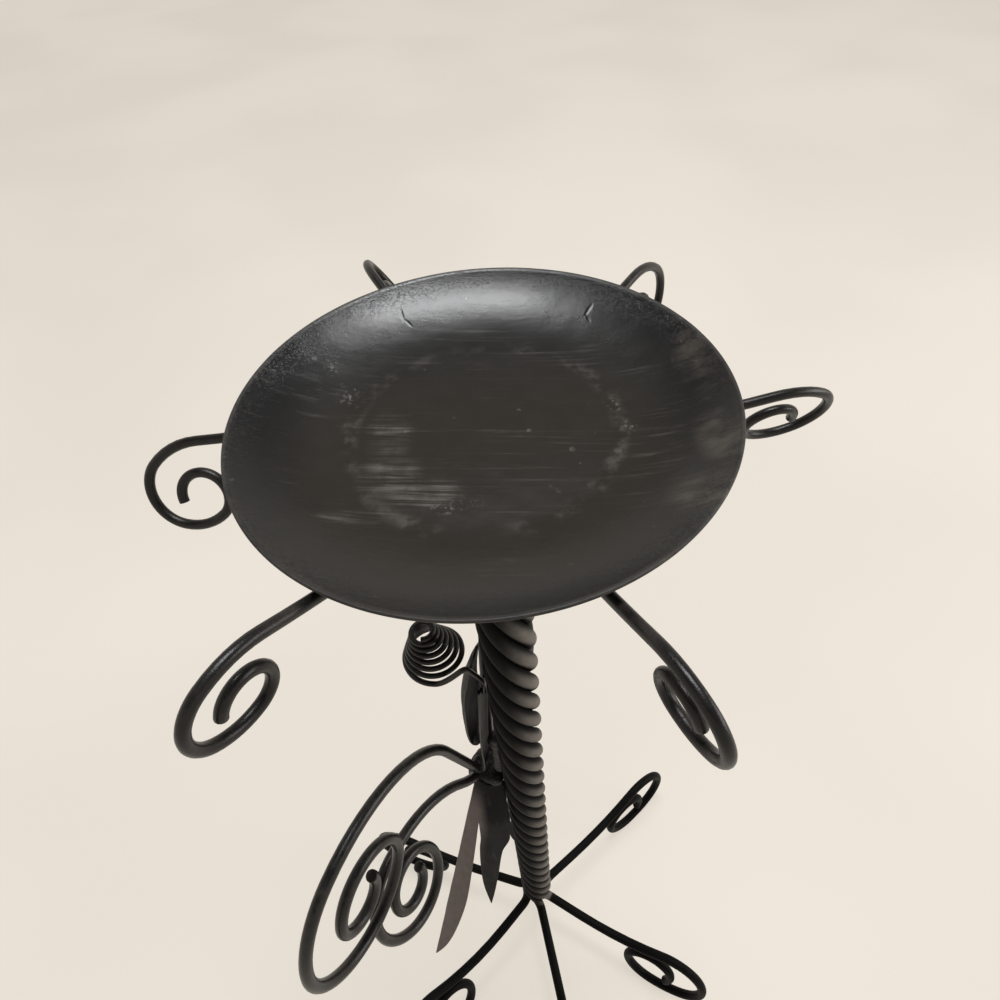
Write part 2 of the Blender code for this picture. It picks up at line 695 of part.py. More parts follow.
def make_beads(collection, angel):
    """Make the weld bead between each wing's root and the body strip."""
    forward = body_forward(WING_ROOT_RISE) + SHEET / 2 + SEAM + BEAD_RADIUS
    reach = WING_ROD_RADIUS + SEAM + BEAD_RADIUS
    paint = iron("weld_iron", (0.040, 0.038, 0.036), 0.55, 0.3)
    for label, side, back in (("near", 1.0, 0.0), ("far", -1.0, FAR_WING_BACK)):
        aside = WING_ROOT_SIDE - math.sqrt(reach**2 - (forward - WING_ROOT_FORWARD + back) ** 2)
        shape = bmesh.new()
        bmesh.ops.create_uvsphere(shape, u_segments=BEAD_SEGMENTS, v_segments=BEAD_RINGS, radius=BEAD_RADIUS)
        bmesh.ops.scale(shape, vec=(1.0, 1.0, BEAD_STRETCH), verts=shape.verts)
        bmesh.ops.translate(shape, vec=(forward, side * aside, WING_ROOT_RISE), verts=shape.verts)
        mesh = bpy.data.meshes.new(f"weld_{label}")
        shape.to_mesh(mesh)
        shape.free()
        mesh.shade_smooth()
        add_mesh(f"weld_waist_{label}", mesh, paint, collection, angel)


def main():
    """Build the candle holder."""
    clear_scene()
    collection = new_collection("angel_candle_holder")
    angel = bpy.data.objects.new("angel_axis", None)
    angel.rotation_euler = (0.0, 0.0, math.radians(ANGEL_AZIMUTH))
    angel.location = circle_point(COLUMN_RADIUS, ANGEL_AZIMUTH, -ANGEL_DROP)
    collection.objects.link(angel)
    make_dish(collection)
    make_column(collection)
    make_arms(collection)
    make_head(collection, angel)
    make_bodice(collection, angel)
    make_gown(collection, angel)
    make_wings(collection, angel)
    make_beads(collection, angel)
    bpy.context.view_layer.update()


main()
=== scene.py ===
"""Dress the wrought-iron candle holder with its welded angel.

All lengths are in metres and all angles in degrees. The origin is the centre of the dish's
flat floor, +Z is up, and azimuths are counted from +X towards +Y.
"""

from __future__ import annotations

import logging
import math
from collections.abc import Callable
from dataclasses import dataclass
from enum import Enum

import bmesh
import bpy
from mathutils import Matrix, Vector, noise

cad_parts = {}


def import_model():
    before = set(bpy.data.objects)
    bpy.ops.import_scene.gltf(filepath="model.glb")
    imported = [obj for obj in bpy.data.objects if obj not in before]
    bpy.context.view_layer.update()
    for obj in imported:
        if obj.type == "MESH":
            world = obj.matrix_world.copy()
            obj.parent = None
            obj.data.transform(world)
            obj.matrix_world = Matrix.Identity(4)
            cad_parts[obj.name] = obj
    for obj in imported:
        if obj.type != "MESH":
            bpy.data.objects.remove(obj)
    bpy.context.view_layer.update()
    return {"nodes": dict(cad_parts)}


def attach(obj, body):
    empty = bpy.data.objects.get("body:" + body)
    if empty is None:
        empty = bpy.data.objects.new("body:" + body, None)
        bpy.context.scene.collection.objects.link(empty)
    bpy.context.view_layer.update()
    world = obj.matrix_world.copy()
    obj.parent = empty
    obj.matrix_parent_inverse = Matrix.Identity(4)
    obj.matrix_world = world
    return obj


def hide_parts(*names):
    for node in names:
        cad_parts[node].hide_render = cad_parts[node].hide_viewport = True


LOG = logging.getLogger("candle_holder")

Triple = tuple[float, float, float]
Colour = Triple
Bends = tuple[tuple[float, float], ...]
Rows = tuple[Triple, ...]
Ovals = tuple[tuple[float, float, float, float], ...]
Placer = Callable[[float, float], Vector]
BODY = "root"
SHEET = 0.0008
EDGE_ROUND = 0.00018
UPWARD = Vector((0.0, 0.0, 1.0))


class Slot(Enum):
    """Material slots of the pieces."""

    DISH = "dish_paint"
    COLUMN = "column_paint"
    ARM = "arm_paint"
    ROD = "rod_paint"
    SHEET = "sheet_paint"
    WELD = "weld_paint"


class Side(Enum):
    """Side of the angel, whose value is the sign of its sideways lengths."""

    NEAR = 1.0
    FAR = -1.0


# Node graphs


class Signal:
    """A shader socket that takes part in Python arithmetic."""

    def __init__(self, graph: Graph, socket: bpy.types.NodeSocket) -> None:
        """Wrap one output socket of a graph."""
        self.graph = graph
        self.socket = socket

    def _math(self, operation: str, first: Signal | float, second: Signal | float) -> Signal:
        """Add one Math node and return its result."""
        return self.graph.node("ShaderNodeMath", {"operation": operation}, {0: first, 1: second})

    def __add__(self, other: Signal | float) -> Signal:
        """Return self + other."""
        return self._math("ADD", self, other)

    def __radd__(self, other: float) -> Signal:
        """Return other + self."""
        return self._math("ADD", other, self)

    def __sub__(self, other: Signal | float) -> Signal:
        """Return self - other."""
        return self._math("SUBTRACT", self, other)

    def __rsub__(self, other: float) -> Signal:
        """Return other - self."""
        return self._math("SUBTRACT", other, self)

    def __mul__(self, other: Signal | float) -> Signal:
        """Return self * other."""
        return self._math("MULTIPLY", self, other)

    def __rmul__(self, other: float) -> Signal:
        """Return other * self."""
        return self._math("MULTIPLY", other, self)


class Graph:
    """The node graph of one material."""

    def __init__(self, name: str) -> None:
        """Start a material with one Principled shader.

        Args:
            name: Name of the material.
        """
        self.material = bpy.data.materials.new(name)
        self.material.use_nodes = True
        self.tree = self.material.node_tree
        self.shader = self.tree.nodes["Principled BSDF"]
        self.coords = self.node("ShaderNodeTexCoord", output="Object")

    def node(
        self,
        kind: str,
        settings: dict[str, object] | None = None,
        inputs: dict[int | str, object] | None = None,
        output: int | str = 0,
    ) -> Signal:
        """Add any node.

        Args:
            kind: Type name of the node.
            settings: Properties that are set first.
            inputs: Values or signals of the sockets, by index or name.
            output: Socket to return, by index or name.

        Returns:
            The chosen output as a signal.
        """
        made = self.tree.nodes.new(kind)
        for key, value in (settings or {}).items():
            setattr(made, key, value)
        for key, value in (inputs or {}).items():
            if isinstance(value, Signal):
                self.tree.links.new(value.socket, made.inputs[key])
            else:
                made.inputs[key].default_value = value
        return Signal(self, made.outputs[output])

    def noise(
        self, scale: float, detail: float = 3.0, rough: float = 0.55, vector: Signal | None = None
    ) -> Signal:
        """Add fractal noise.

        Args:
            scale: Cycles a metre.
            detail: Octaves of the noise.
            rough: Share that each octave keeps of the one before.
            vector: Coordinates to read, which are the object's own where none are given.

        Returns:
            The noise, of about 0 to 1.
        """
        sockets = {"Vector": vector or self.coords, "Scale": scale, "Detail": detail, "Roughness": rough}
        return self.node("ShaderNodeTexNoise", None, sockets)

    def step(self, value: Signal, low: float, high: float) -> Signal:
        """Return a smooth step from 0 at low to 1 at high."""
        sockets = {"Value": value, "From Min": low, "From Max": high}
        return self.node("ShaderNodeMapRange", {"interpolation_type": "SMOOTHSTEP"}, sockets)

    def vector(self, operation: str, first: Signal, second: Triple | None = None) -> Signal:
        """Add one Vector Math node.

        Args:
            operation: Name of the operation. The length comes back as a plain number.
            first: First vector.
            second: Second vector, where the operation takes one.

        Returns:
            The node's result.
        """
        inputs = {0: first} if second is None else {0: first, 1: second}
        output = "Value" if operation == "LENGTH" else "Vector"
        return self.node("ShaderNodeVectorMath", {"operation": operation}, inputs, output)

    def turned(self, vector: Signal, turn: float) -> Signal:
        """Return a vector turned about Z by an angle."""
        sockets = {"Vector": vector, "Rotation": (0.0, 0.0, math.radians(turn))}
        return self.node("ShaderNodeMapping", {"vector_type": "POINT"}, sockets)

    def stretched(self, turn: float, scale: Triple) -> Signal:
        """Return object coordinates turned about Z and then scaled."""
        return self.vector("MULTIPLY", self.turned(self.coords, turn), scale)

    def axis(self, name: str, vector: Signal | None = None) -> Signal:
        """Return the X, Y or Z of a vector, or of the object coordinates."""
        return self.node("ShaderNodeSeparateXYZ", None, {0: vector or self.coords}, name)

    def radius(self) -> Signal:
        """Return the distance from the Z axis."""
        return self.vector("LENGTH", self.vector("MULTIPLY", self.coords, (1.0, 1.0, 0.0)))

    def blend(self, first: Colour | Signal, second: Colour | Signal, share: Signal) -> Signal:
        """Return a colour that lies the given share of the way from the first to the second."""
        ends = [(*end, 1.0) if isinstance(end, tuple) else end for end in (first, second)]
        return self.node("ShaderNodeMix", {"data_type": "RGBA"}, {0: share, 6: ends[0], 7: ends[1]}, 2)

    def bump(
        self, height: Signal, distance: float, strength: float, under: Signal | None = None
    ) -> Signal:
        """Bend the surface by a height.

        Args:
            height: Height of 0 to 1.
            distance: Length that a height of 1 stands for.
            strength: Share of the bend that is used.
            under: Normal that was bent before.

        Returns:
            The bent normal.
        """
        sockets: dict[int | str, object] = {"Height": height, "Distance": distance, "Strength": strength}
        if under:
            sockets["Normal"] = under
        return self.node("ShaderNodeBump", None, sockets)

    def finish(
        self,
        colour: Signal,
        roughness: Signal | float,
        normal: Signal | None = None,
        shine: float = 0.5,
        metallic: float = 0.0,
    ) -> bpy.types.Material:
        """Feed the Principled shader.

        Args:
            colour: Base colour.
            roughness: Roughness.
            normal: Bent normal.
            shine: Strength of the reflection, where 0.5 is a plain coat of paint.
            metallic: Share of bare metal.

        Returns:
            The finished material.
        """
        for key, value in {"Base Color": colour, "Roughness": roughness, "Normal": normal}.items():
            if isinstance(value, Signal):
                self.tree.links.new(value.socket, self.shader.inputs[key])
            elif value is not None:
                self.shader.inputs[key].default_value = value
        for key, value in {"Metallic": metallic, "IOR": 1.5, "Specular IOR Level": shine}.items():
            self.shader.inputs[key].default_value = value
        return self.material


# Finishes


@dataclass(frozen=True)
class SatinIron:
    """Satin black paint on round bar, wire or sheet, with dust and a painted sheen on upper faces.

    Attributes:
        black: Colour of the fresh paint.
        rubbed: Colour where the paint is thin or rubbed.
        dust_and_sheen: Colour of the dust and of the painted sheen on upper faces.
        gloss: Roughness of the clean paint.
        wear: How far the thin patches go.
        shine: Strength of the paint's reflection.
        dust_and_sheen_amount: How much dust and painted sheen lie on upper faces.
        lie: Upward share of a face's direction at which the dust and painted sheen start, and where they
            are full.
        grain: Cycles a metre of the paint's fine grain.
        forging: Height of the slow unevenness under the paint.
        tooth: Strength of the fine grain.
    """

    black: Colour = (0.0075, 0.0064, 0.0060)
    rubbed: Colour = (0.034, 0.027, 0.023)
    dust_and_sheen: Colour = (0.085, 0.076, 0.068)
    gloss: float = 0.27
    wear: float = 0.45
    shine: float = 0.30
    dust_and_sheen_amount: float = 0.10
    lie: tuple[float, float] = (0.15, 0.95)
    grain: float = 2600.0
    forging: float = 0.00035
    tooth: float = 1.0

    def _upper(self, graph: Graph) -> Signal:
        """Return how far a face points upwards, as a share between the two limits."""
        facing = graph.node("ShaderNodeNewGeometry", output="Normal")
        return graph.step(graph.axis("Z", facing), *self.lie)

    def material(self, name: str) -> bpy.types.Material:
        """Make the paint.

        Args:
            name: Name of the material.

        Returns:
            The finished material.
        """
        graph = Graph(name)
        slow = graph.noise(45.0, 3.0)
        patch = graph.noise(190.0, 5.0, 0.65)
        grain = graph.noise(self.grain, 3.0, 0.6)
        pits = graph.step(graph.noise(1500.0, 2.0, 0.5), 0.66, 0.76)
        rubbed = graph.step(patch, 0.50, 0.76) * self.wear + pits * 0.35
        # Upper faces are lightened by dust, and by a painted sheen of the light from above.
        dust_and_sheen_share = self._upper(graph) * graph.step(patch * 0.6 + slow * 0.4, 0.36, 0.66) * self.dust_and_sheen_amount
        colour = graph.blend(self.black, self.rubbed, rubbed)
        colour = graph.blend(colour, self.dust_and_sheen, dust_and_sheen_share)
        roughness = self.gloss + patch * 0.14 + dust_and_sheen_share * 0.4 - slow * 0.05
        normal = graph.bump(slow, self.forging, 0.6)
        normal = graph.bump(grain, 0.00006, 0.55 * self.tooth, normal)
        normal = graph.bump(pits, 0.00008, 0.7 * self.tooth, normal)
        return graph.finish(colour, roughness, normal, self.shine)


@dataclass(frozen=True)
class TwistedIron(SatinIron):
    """Satin black paint on the twisted rods, rubbed on their crests, with painted shade between them and a
    painted lit side towards +X.

    The inherited attributes have values of their own.

    Attributes:
        lit_side: Colour of the painted light on the side that faces the light from +X.
        lit_side_from: X at which that painted lit side starts, and where it is full.
        crest: Distance of a rod's outermost line from the column's axis.
        groove: Distance from the axis inside which the gap between two rods takes its full painted shade.
        groove_shade: Colour of the painted shade in the gap between two rods.
        column_edge: Distances from the axis between which the column's wear, painted lit side and painted
            groove shade fade on the legs.
    """

    black: Colour = (0.0030, 0.0028, 0.0028)
    rubbed: Colour = (0.024, 0.022, 0.020)
    lit_side: Colour = (0.190, 0.174, 0.158)
    lit_side_from: tuple[float, float] = (-0.003, 0.0085)
    gloss: float = 0.46
    shine: float = 0.07
    dust_and_sheen_amount: float = 0.04
    lie: tuple[float, float] = (0.05, 0.85)
    crest: float = 0.0104
    groove: float = 0.0082
    groove_shade: Colour = (0.0025, 0.0025, 0.0030)
    column_edge: tuple[float, float] = (0.0108, 0.0125)

    def material(self, name: str) -> bpy.types.Material:
        """Make the paint with the twist's wear, its painted lit side and its painted groove shade.

        Args:
            name: Name of the material.

        Returns:
            The finished material.
        """
        graph = Graph(name)
        radius = graph.radius()
        outer = graph.step(radius, self.groove, self.crest)
        slow = graph.noise(60.0, 3.0)
        patch = graph.noise(260.0, 5.0, 0.65)
        grain = graph.noise(self.grain, 3.0, 0.6)
        pits = graph.step(graph.noise(1300.0, 2.0, 0.5), 0.66, 0.76)
        on_column = 1 - graph.step(radius, *self.column_edge)
        rubbed = outer * on_column * graph.step(patch, 0.44, 0.76) * 0.30 + pits * 0.3
        inner = (1 - outer) * on_column
        dust_and_sheen_share = self._upper(graph) * graph.step(patch * 0.5 + slow * 0.5, 0.34, 0.64) * self.dust_and_sheen_amount
        colour = graph.blend(self.black, self.rubbed, rubbed)
        colour = graph.blend(colour, self.dust_and_sheen, dust_and_sheen_share)
        # Painted light: the side towards +X is lightened, since the light comes from there.
        lit_side = graph.step(graph.axis("X"), *self.lit_side_from) * on_column * (0.45 + patch * 0.75)
        colour = graph.blend(colour, self.lit_side, lit_side * outer)
        # Painted shade in the gaps between the rods.
        colour = graph.blend(colour, self.groove_shade, inner * 0.85)
        roughness = self.gloss + patch * 0.16 + dust_and_sheen_share * 0.4 + inner * 0.2
        normal = graph.bump(slow, self.forging, 0.6)
        normal = graph.bump(grain, 0.00007, 0.6, normal)
        normal = graph.bump(pits, 0.0001, 0.7, normal)
        return graph.finish(colour, roughness, normal, self.shine)


@dataclass(frozen=True)
class GownIron(SatinIron):
    """Satin paint on the gown, with painted light on the front strips and black near the column, where
    that painted light is missing.

    Attributes:
        pale: Colour of the painted light on the front strips.
        waist: Height of the gown's top edge.
        start: Distance from the column's axis at which the painted light starts at the slots.
        spread: Growth of that distance with the drop below the waist.
        ramp: How far before that distance the painted light fades in, from where to where.
        fade: Drops below the waist between which the painted light fades in.
    """

    pale: Colour = (0.190, 0.162, 0.154)
    waist: float = -0.227
    start: float = 0.0245
    spread: float = 0.16
    ramp: tuple[float, float] = (0.0065, 0.0015)
    fade: tuple[float, float] = (0.002, 0.026)

    def material(self, name: str) -> bpy.types.Material:
        """Make the gown's paint.

        Args:
            name: Name of the material.

        Returns:
            The finished material.
        """
        graph = Graph(name)
        drop = self.waist - graph.axis("Z")
        reach = graph.radius() - drop * self.spread
        # Painted light: the front strips, away from the column, face the bright window and sky and are
        # made pale; the streaks are brush marks.
        front = graph.step(reach, *(self.start - before for before in self.ramp))
        front = front * graph.step(drop, *self.fade)
        slow = graph.noise(50.0, 3.0)
        patch = graph.noise(170.0, 5.0, 0.65)
        streak = graph.noise(1.0, 4.0, 0.6, graph.stretched(70.0, (420.0, 420.0, 24.0)))
        grain = graph.noise(self.grain, 3.0, 0.6)
        lit_and_streaked = front * (0.55 + patch * 0.5) + graph.step(streak, 0.55, 0.78) * 0.12
        colour = graph.blend(self.black, self.pale, lit_and_streaked)
        colour = graph.blend(colour, self.rubbed, graph.step(patch, 0.52, 0.76) * self.wear * (1 - front))
        roughness = self.gloss + patch * 0.12 + front * 0.08
        normal = graph.bump(slow, 0.0006, 0.5)
        normal = graph.bump(grain, 0.00005, 0.5, graph.bump(streak, 0.00008, 0.4, normal))
        return graph.finish(colour, roughness, normal, self.shine)


@dataclass(frozen=True)
class WornDish:
    """Brushed and rubbed black paint of the dish.

    Attributes:
        black: Colour of the paint on the slopes.
        brown: Colour of the thin, warm paint on the floor.
        stroke: Colour of the brush strokes.
        scuff: Colour of the rubbed patch and the candle's ring.
        speck: Colour of the small wax and dust specks.
        brush_turn: Turn of the brush strokes about +Z.
        floor_radius: Radius at which the floor meets the slope.
        rim_radius: Radius of the dish.
        ring: Radii between which the candle's ring fades in and out again.
        crusted: Radii between which the paint below the rim grows rough.
        north: Y between which the floor's brown turns black towards the rear.
        gloss: Roughness of the clean paint.
        shine: Strength of the paint's reflection.
        rubs: Ovals on the floor where the paint is rubbed through in streaks.
        rim_wear_and_sheen: Ovals near the rim on the +X side where the paint is thin, with a painted
            highlight of the light from +X.
        dotted: Cycles a metre of the single specks.
        speckled: Ovals of fine specks.
        dents: Middle, half width, half length and turn of each small dent in the slope.
    """

    black: Colour = (0.0056, 0.0068, 0.0092)
    brown: Colour = (0.0190, 0.0158, 0.0114)
    stroke: Colour = (0.072, 0.063, 0.052)
    scuff: Colour = (0.130, 0.113, 0.098)
    speck: Colour = (0.25, 0.235, 0.21)
    brush_turn: float = 9.0
    floor_radius: float = 0.030
    rim_radius: float = 0.060
    ring: tuple[float, float, float, float] = (0.0300, 0.0328, 0.0334, 0.0362)
    crusted: tuple[float, float] = (0.049, 0.058)
    north: tuple[float, float] = (0.004, 0.040)
    gloss: float = 0.20
    shine: float = 0.38
    rubs: Ovals = (
        (-0.0228, 0.0010, 0.0075, 0.0120),
        (-0.0225, -0.0125, 0.0100, 0.0085),
        (-0.0140, -0.0195, 0.0110, 0.0060),
        (-0.0290, -0.0250, 0.0120, 0.0030),
    )
    rim_wear_and_sheen: Ovals = (
        (0.0540, 0.0120, 0.0060, 0.0180),
        (0.0520, -0.0170, 0.0060, 0.0150),
        (0.0440, -0.0330, 0.0090, 0.0090),
    )
    dotted: float = 210.0
    speckled: Ovals = (
        (-0.0385, 0.0290, 0.0030, 0.0060),
        (-0.0330, 0.0170, 0.0050, 0.0070),
        (0.0330, 0.0040, 0.0024, 0.0040),
        (0.0352, -0.0045, 0.0022, 0.0035),
        (-0.0080, -0.0240, 0.0080, 0.0035),
    )
    dents: tuple[tuple[float, float, float, float, float], ...] = (
        (-0.0200, 0.0470, 0.0008, 0.0030, 12.0),
        (-0.0182, 0.0442, 0.0007, 0.0022, 38.0),
        (0.0323, 0.0396, 0.0008, 0.0028, -42.0),
        (0.0318, 0.0372, 0.0006, 0.0022, 12.0),
    )

    def _spot(
        self, graph: Graph, oval: tuple[float, float, float, float], soft: float, turn: float = 0.0
    ) -> Signal:
        """Return a soft oval mask about a point of the dish.

        Args:
            graph: Graph that the mask joins.
            oval: X and Y of the oval's middle, and its half lengths along X and Y.
            soft: Share of the oval over which it fades.
            turn: Turn of the oval about its middle.

        Returns:
            1 inside the oval and 0 outside it.
        """
        x, y, wide, long = oval
        moved = graph.vector("SUBTRACT", graph.coords, (x, y, 0.0))
        turned = graph.turned(moved, -turn) if turn else moved
        length = graph.vector("LENGTH", graph.vector("MULTIPLY", turned, (1.0 / wide, 1.0 / long, 0.0)))
        return 1 - graph.step(length, 1.0 - soft, 1.0)

    def _masks(self, graph: Graph, ovals: Ovals) -> Signal:
        """Add up several soft oval masks.

        Args:
            graph: Graph that the masks join.
            ovals: The ovals.

        Returns:
            The sum of their masks, up to 1.
        """
        total = self._spot(graph, ovals[0], 0.8)
        for oval in ovals[1:]:
            total = total + self._spot(graph, oval, 0.8)
        return graph.node("ShaderNodeMath", {"operation": "MINIMUM"}, {0: total, 1: 1.0})

    def _relief(self, graph: Graph, slow: Signal, strokes: Signal, fine: Signal, radius: Signal) -> Signal:
        """Give the plate its small relief.

        Args:
            graph: Graph that the relief joins.
            slow: Noise of the plate's slow unevenness.
            strokes: Noise of the brush strokes.
            fine: Noise of the paint's grain.
            radius: Distance from the dish's middle.

        Returns:
            The plate's bent normal.
        """
        crust = graph.step(graph.noise(1500.0, 4.0, 0.7), 0.48, 0.70) * graph.step(radius, *self.crusted)
        layers = (
            (slow, 0.0008, 0.30),
            (strokes, 0.00008, 0.25),
            (fine, 0.00006, 0.30),
            (graph.noise(3200.0, 2.0), 0.00003, 0.3),
            (crust, 0.00005, 0.5),
        )
        normal = None
        for height, distance, strength in layers:
            normal = graph.bump(height, distance, strength, normal)
        for *oval, turn in self.dents:
            normal = graph.bump(self._spot(graph, oval, 0.95, turn), 0.00016, 0.5, normal)
        return normal

    def material(self, name: str) -> bpy.types.Material:
        """Make the dish's paint.

        Args:
            name: Name of the material.

        Returns:
            The finished material.
        """
        graph = Graph(name)
        radius = graph.radius()
        slow = graph.noise(38.0, 4.0, 0.6)
        patch = graph.noise(120.0, 5.0, 0.65)
        fine = graph.noise(900.0, 4.0, 0.6)
        strokes = graph.noise(1.0, 4.0, 0.7, graph.stretched(self.brush_turn, (22.0, 800.0, 200.0)))
        wide = graph.noise(1.0, 3.0, 0.6, graph.stretched(self.brush_turn, (14.0, 260.0, 200.0)))
        slope = graph.step(radius, self.floor_radius + 0.006, self.rim_radius - 0.004)
        north = graph.step(graph.axis("Y"), *self.north)
        blackened = slope * (0.35 + slow * 0.5) + north * (1 - slope) * 0.5
        base = graph.blend(self.brown, self.black, blackened)
        stroke = graph.step(strokes, 0.50, 0.70) * graph.step(wide, 0.42, 0.64)
        stroke = stroke * graph.step(slow, 0.38, 0.60)
        base = graph.blend(base, self.stroke, stroke * (1 - slope * 0.85) * 0.6)
        rubbed = self._masks(graph, self.rubs)
        scuffed = rubbed * graph.step(strokes, 0.38, 0.62) * (0.30 + graph.step(wide, 0.40, 0.58) * 0.70)
        scuffed = scuffed * (0.45 + graph.step(patch, 0.40, 0.56) * 0.55)
        ring = graph.step(radius, *self.ring[:2]) * (1 - graph.step(radius, *self.ring[2:]))
        ring = ring * graph.step(patch, 0.44, 0.64) * graph.step(slow, 0.38, 0.58) * (1 - north * 0.75)
        lip = graph.step(radius, self.rim_radius - 0.0022, self.rim_radius + 0.0002)
        lip = lip * graph.step(patch, 0.30, 0.64)
        # Lighter patches near the rim on the +X side: rubbed paint, and a painted highlight of the light
        # from +X.
        rim_wear_and_sheen_share = self._masks(graph, self.rim_wear_and_sheen) * graph.step(wide * 0.6 + patch * 0.4, 0.40, 0.62)
        base = graph.blend(base, self.scuff, scuffed * 0.80)
        base = graph.blend(base, self.scuff, ring * 0.34)
        base = graph.blend(base, self.stroke, rim_wear_and_sheen_share * 0.7 + lip * 0.4)
        sockets = {"Vector": graph.coords, "Scale": self.dotted}
        cells = graph.node("ShaderNodeTexVoronoi", {"feature": "F1"}, sockets)
        dots = (1 - graph.step(cells, 0.10, 0.22)) * graph.step(patch, 0.56, 0.66)
        flecks = graph.step(fine, 0.52, 0.64) * self._masks(graph, self.speckled)
        flecks = flecks * graph.step(patch, 0.38, 0.54)
        base = graph.blend(base, self.speck, dots * 0.30 + flecks * 0.42)
        roughness = self.gloss + patch * 0.10 + stroke * 0.16 + scuffed * 0.2
        roughness = roughness + ring * 0.12 + (1 - slope) * 0.05
        roughness = roughness + graph.step(radius, self.rim_radius - 0.0012, self.rim_radius) * 0.3
        return graph.finish(base, roughness, self._relief(graph, slow, strokes, fine, radius), self.shine)


@dataclass(frozen=True)
class WeldScale:
    """Rough grey-brown skin of a weld under thin paint.

    Attributes:
        dark: Colour of the paint in the hollows.
        pale: Colour of the bare crests.
        gloss: Roughness of the skin.
        metallic: Share of bare metal.
    """

    dark: Colour = (0.014, 0.013, 0.013)
    pale: Colour = (0.085, 0.078, 0.072)
    gloss: float = 0.42
    metallic: float = 0.15

    def material(self, name: str) -> bpy.types.Material:
        """Make the weld's skin.

        Args:
            name: Name of the material.

        Returns:
            The finished material.
        """
        graph = Graph(name)
        ripple = graph.noise(900.0, 4.0, 0.6)
        grit = graph.noise(3800.0, 3.0, 0.6)
        colour = graph.blend(self.dark, self.pale, graph.step(ripple, 0.48, 0.75))
        normal = graph.bump(grit, 0.0001, 0.6, graph.bump(ripple, 0.0003, 0.6))
        return graph.finish(colour, self.gloss + grit * 0.25, normal, metallic=self.metallic)


# Shaping tools


def bead_ring(count: int, radius: float, height: float, start: float = 0.0) -> list[Vector]:
    """Return evenly spaced points round the Z axis, the first of them at the azimuth start."""
    return [circle_point(radius, 360.0 / count * index + start, height) for index in range(count)]


def circle_point(radius: float, azimuth: float, height: float) -> Vector:
    """Return the point at a radius, azimuth and height round the Z axis."""
    angle = math.radians(azimuth)
    return Vector((radius * math.cos(angle), radius * math.sin(angle), height))


def bend_path(length: float, bends: Bends, start_slope: float, step: float) -> list[tuple[float, float]]:
    """Roll a straight rod in one plane.

    Args:
        length: Length of the rod.
        bends: Share of the length and turn of each bend, where a positive turn is downwards.
        start_slope: Slope of the rod's start, downwards.
        step: Turn of one straight piece.

    Returns:
        Points as (out, down) lengths.
    """
    out, down, slope = 0.0, 0.0, math.radians(start_slope)
    path = [(out, down)]
    for share, turn in bends:
        pieces = max(4, math.ceil(abs(turn) / step))
        part = math.radians(turn) / pieces
        chord = length * share / pieces
        if part:
            chord *= math.sin(part / 2) / (part / 2)
        for _ in range(pieces):
            out += chord * math.cos(slope + part / 2)
            down += chord * math.sin(slope + part / 2)
            slope += part
            path.append((out, down))
    return path


def stand_up(path: list[tuple[float, float]], start: Vector, azimuth: float, lean: float) -> list[Vector]:
    """Place a flat path in an upright plane that leans about its outward line.

    Args:
        path: Points as (out, down) lengths.
        start: Where the path's zero point goes.
        azimuth: Azimuth of the outward line.
        lean: Turn of the plane about that line.

    Returns:
        The points in space.
    """
    outward = circle_point(1.0, azimuth, 0.0)
    aside = circle_point(1.0, azimuth + 90.0, 0.0)
    tilt = math.radians(lean)
    downward = aside * math.sin(tilt) - Vector((0.0, 0.0, math.cos(tilt)))
    return [start + outward * out + downward * down for out, down in path]


def hermite_parts(t: float) -> tuple[float, float, float, float]:
    """Return the weights of a start, its pull, an end and its pull at a share of 0 to 1."""
    return 2 * t**3 - 3 * t**2 + 1, t**3 - 2 * t**2 + t, 3 * t**2 - 2 * t**3, t**3 - t**2


def hermite(start: Vector, start_pull: Vector, end: Vector, end_pull: Vector, pieces: int) -> list[Vector]:
    """Run smoothly between two directed ends.

    Args:
        start: First end.
        start_pull: Direction and strength with which the run leaves it.
        end: Last end.
        end_pull: Direction and strength with which the run arrives.
        pieces: Pieces of the run.

    Returns:
        The run's inner points.
    """
    points = []
    for index in range(1, pieces):
        first, pull_in, last, pull_out = hermite_parts(index / pieces)
        points.append(start * first + start_pull * pull_in + end * last + end_pull * pull_out)
    return points


def smooth_row(rows: Rows, share: float) -> list[float]:
    """Read a table of rows smoothly between its lines.

    Args:
        rows: Lines that start with their own place, from the first to the last.
        share: Place to read.

    Returns:
        The line's other values at that place.
    """
    index = 0
    while index < len(rows) - 2 and share > rows[index + 1][0]:
        index += 1
    first, second = rows[index], rows[index + 1]
    before = rows[max(index - 1, 0)]
    after = rows[min(index + 2, len(rows) - 1)]
    gap = second[0] - first[0]
    weights = hermite_parts(min(max((share - first[0]) / gap, 0.0), 1.0))
    values = []
    for column in range(1, len(first)):
        pull_in = (second[column] - before[column]) / max(second[0] - before[0], 1e-9) * gap
        pull_out = (after[column] - first[column]) / max(after[0] - first[0], 1e-9) * gap
        ends = (first[column], pull_in, second[column], pull_out)
        values.append(sum(end * weight for end, weight in zip(ends, weights)))
    return values


def uneven(point: Vector, scale: float, seed: float) -> float:
    """Return slow noise of about -1 to 1 at a point, with a scale in cycles a metre."""
    return noise.noise(point * scale + Vector((seed, seed * 0.7, seed * 1.3)))


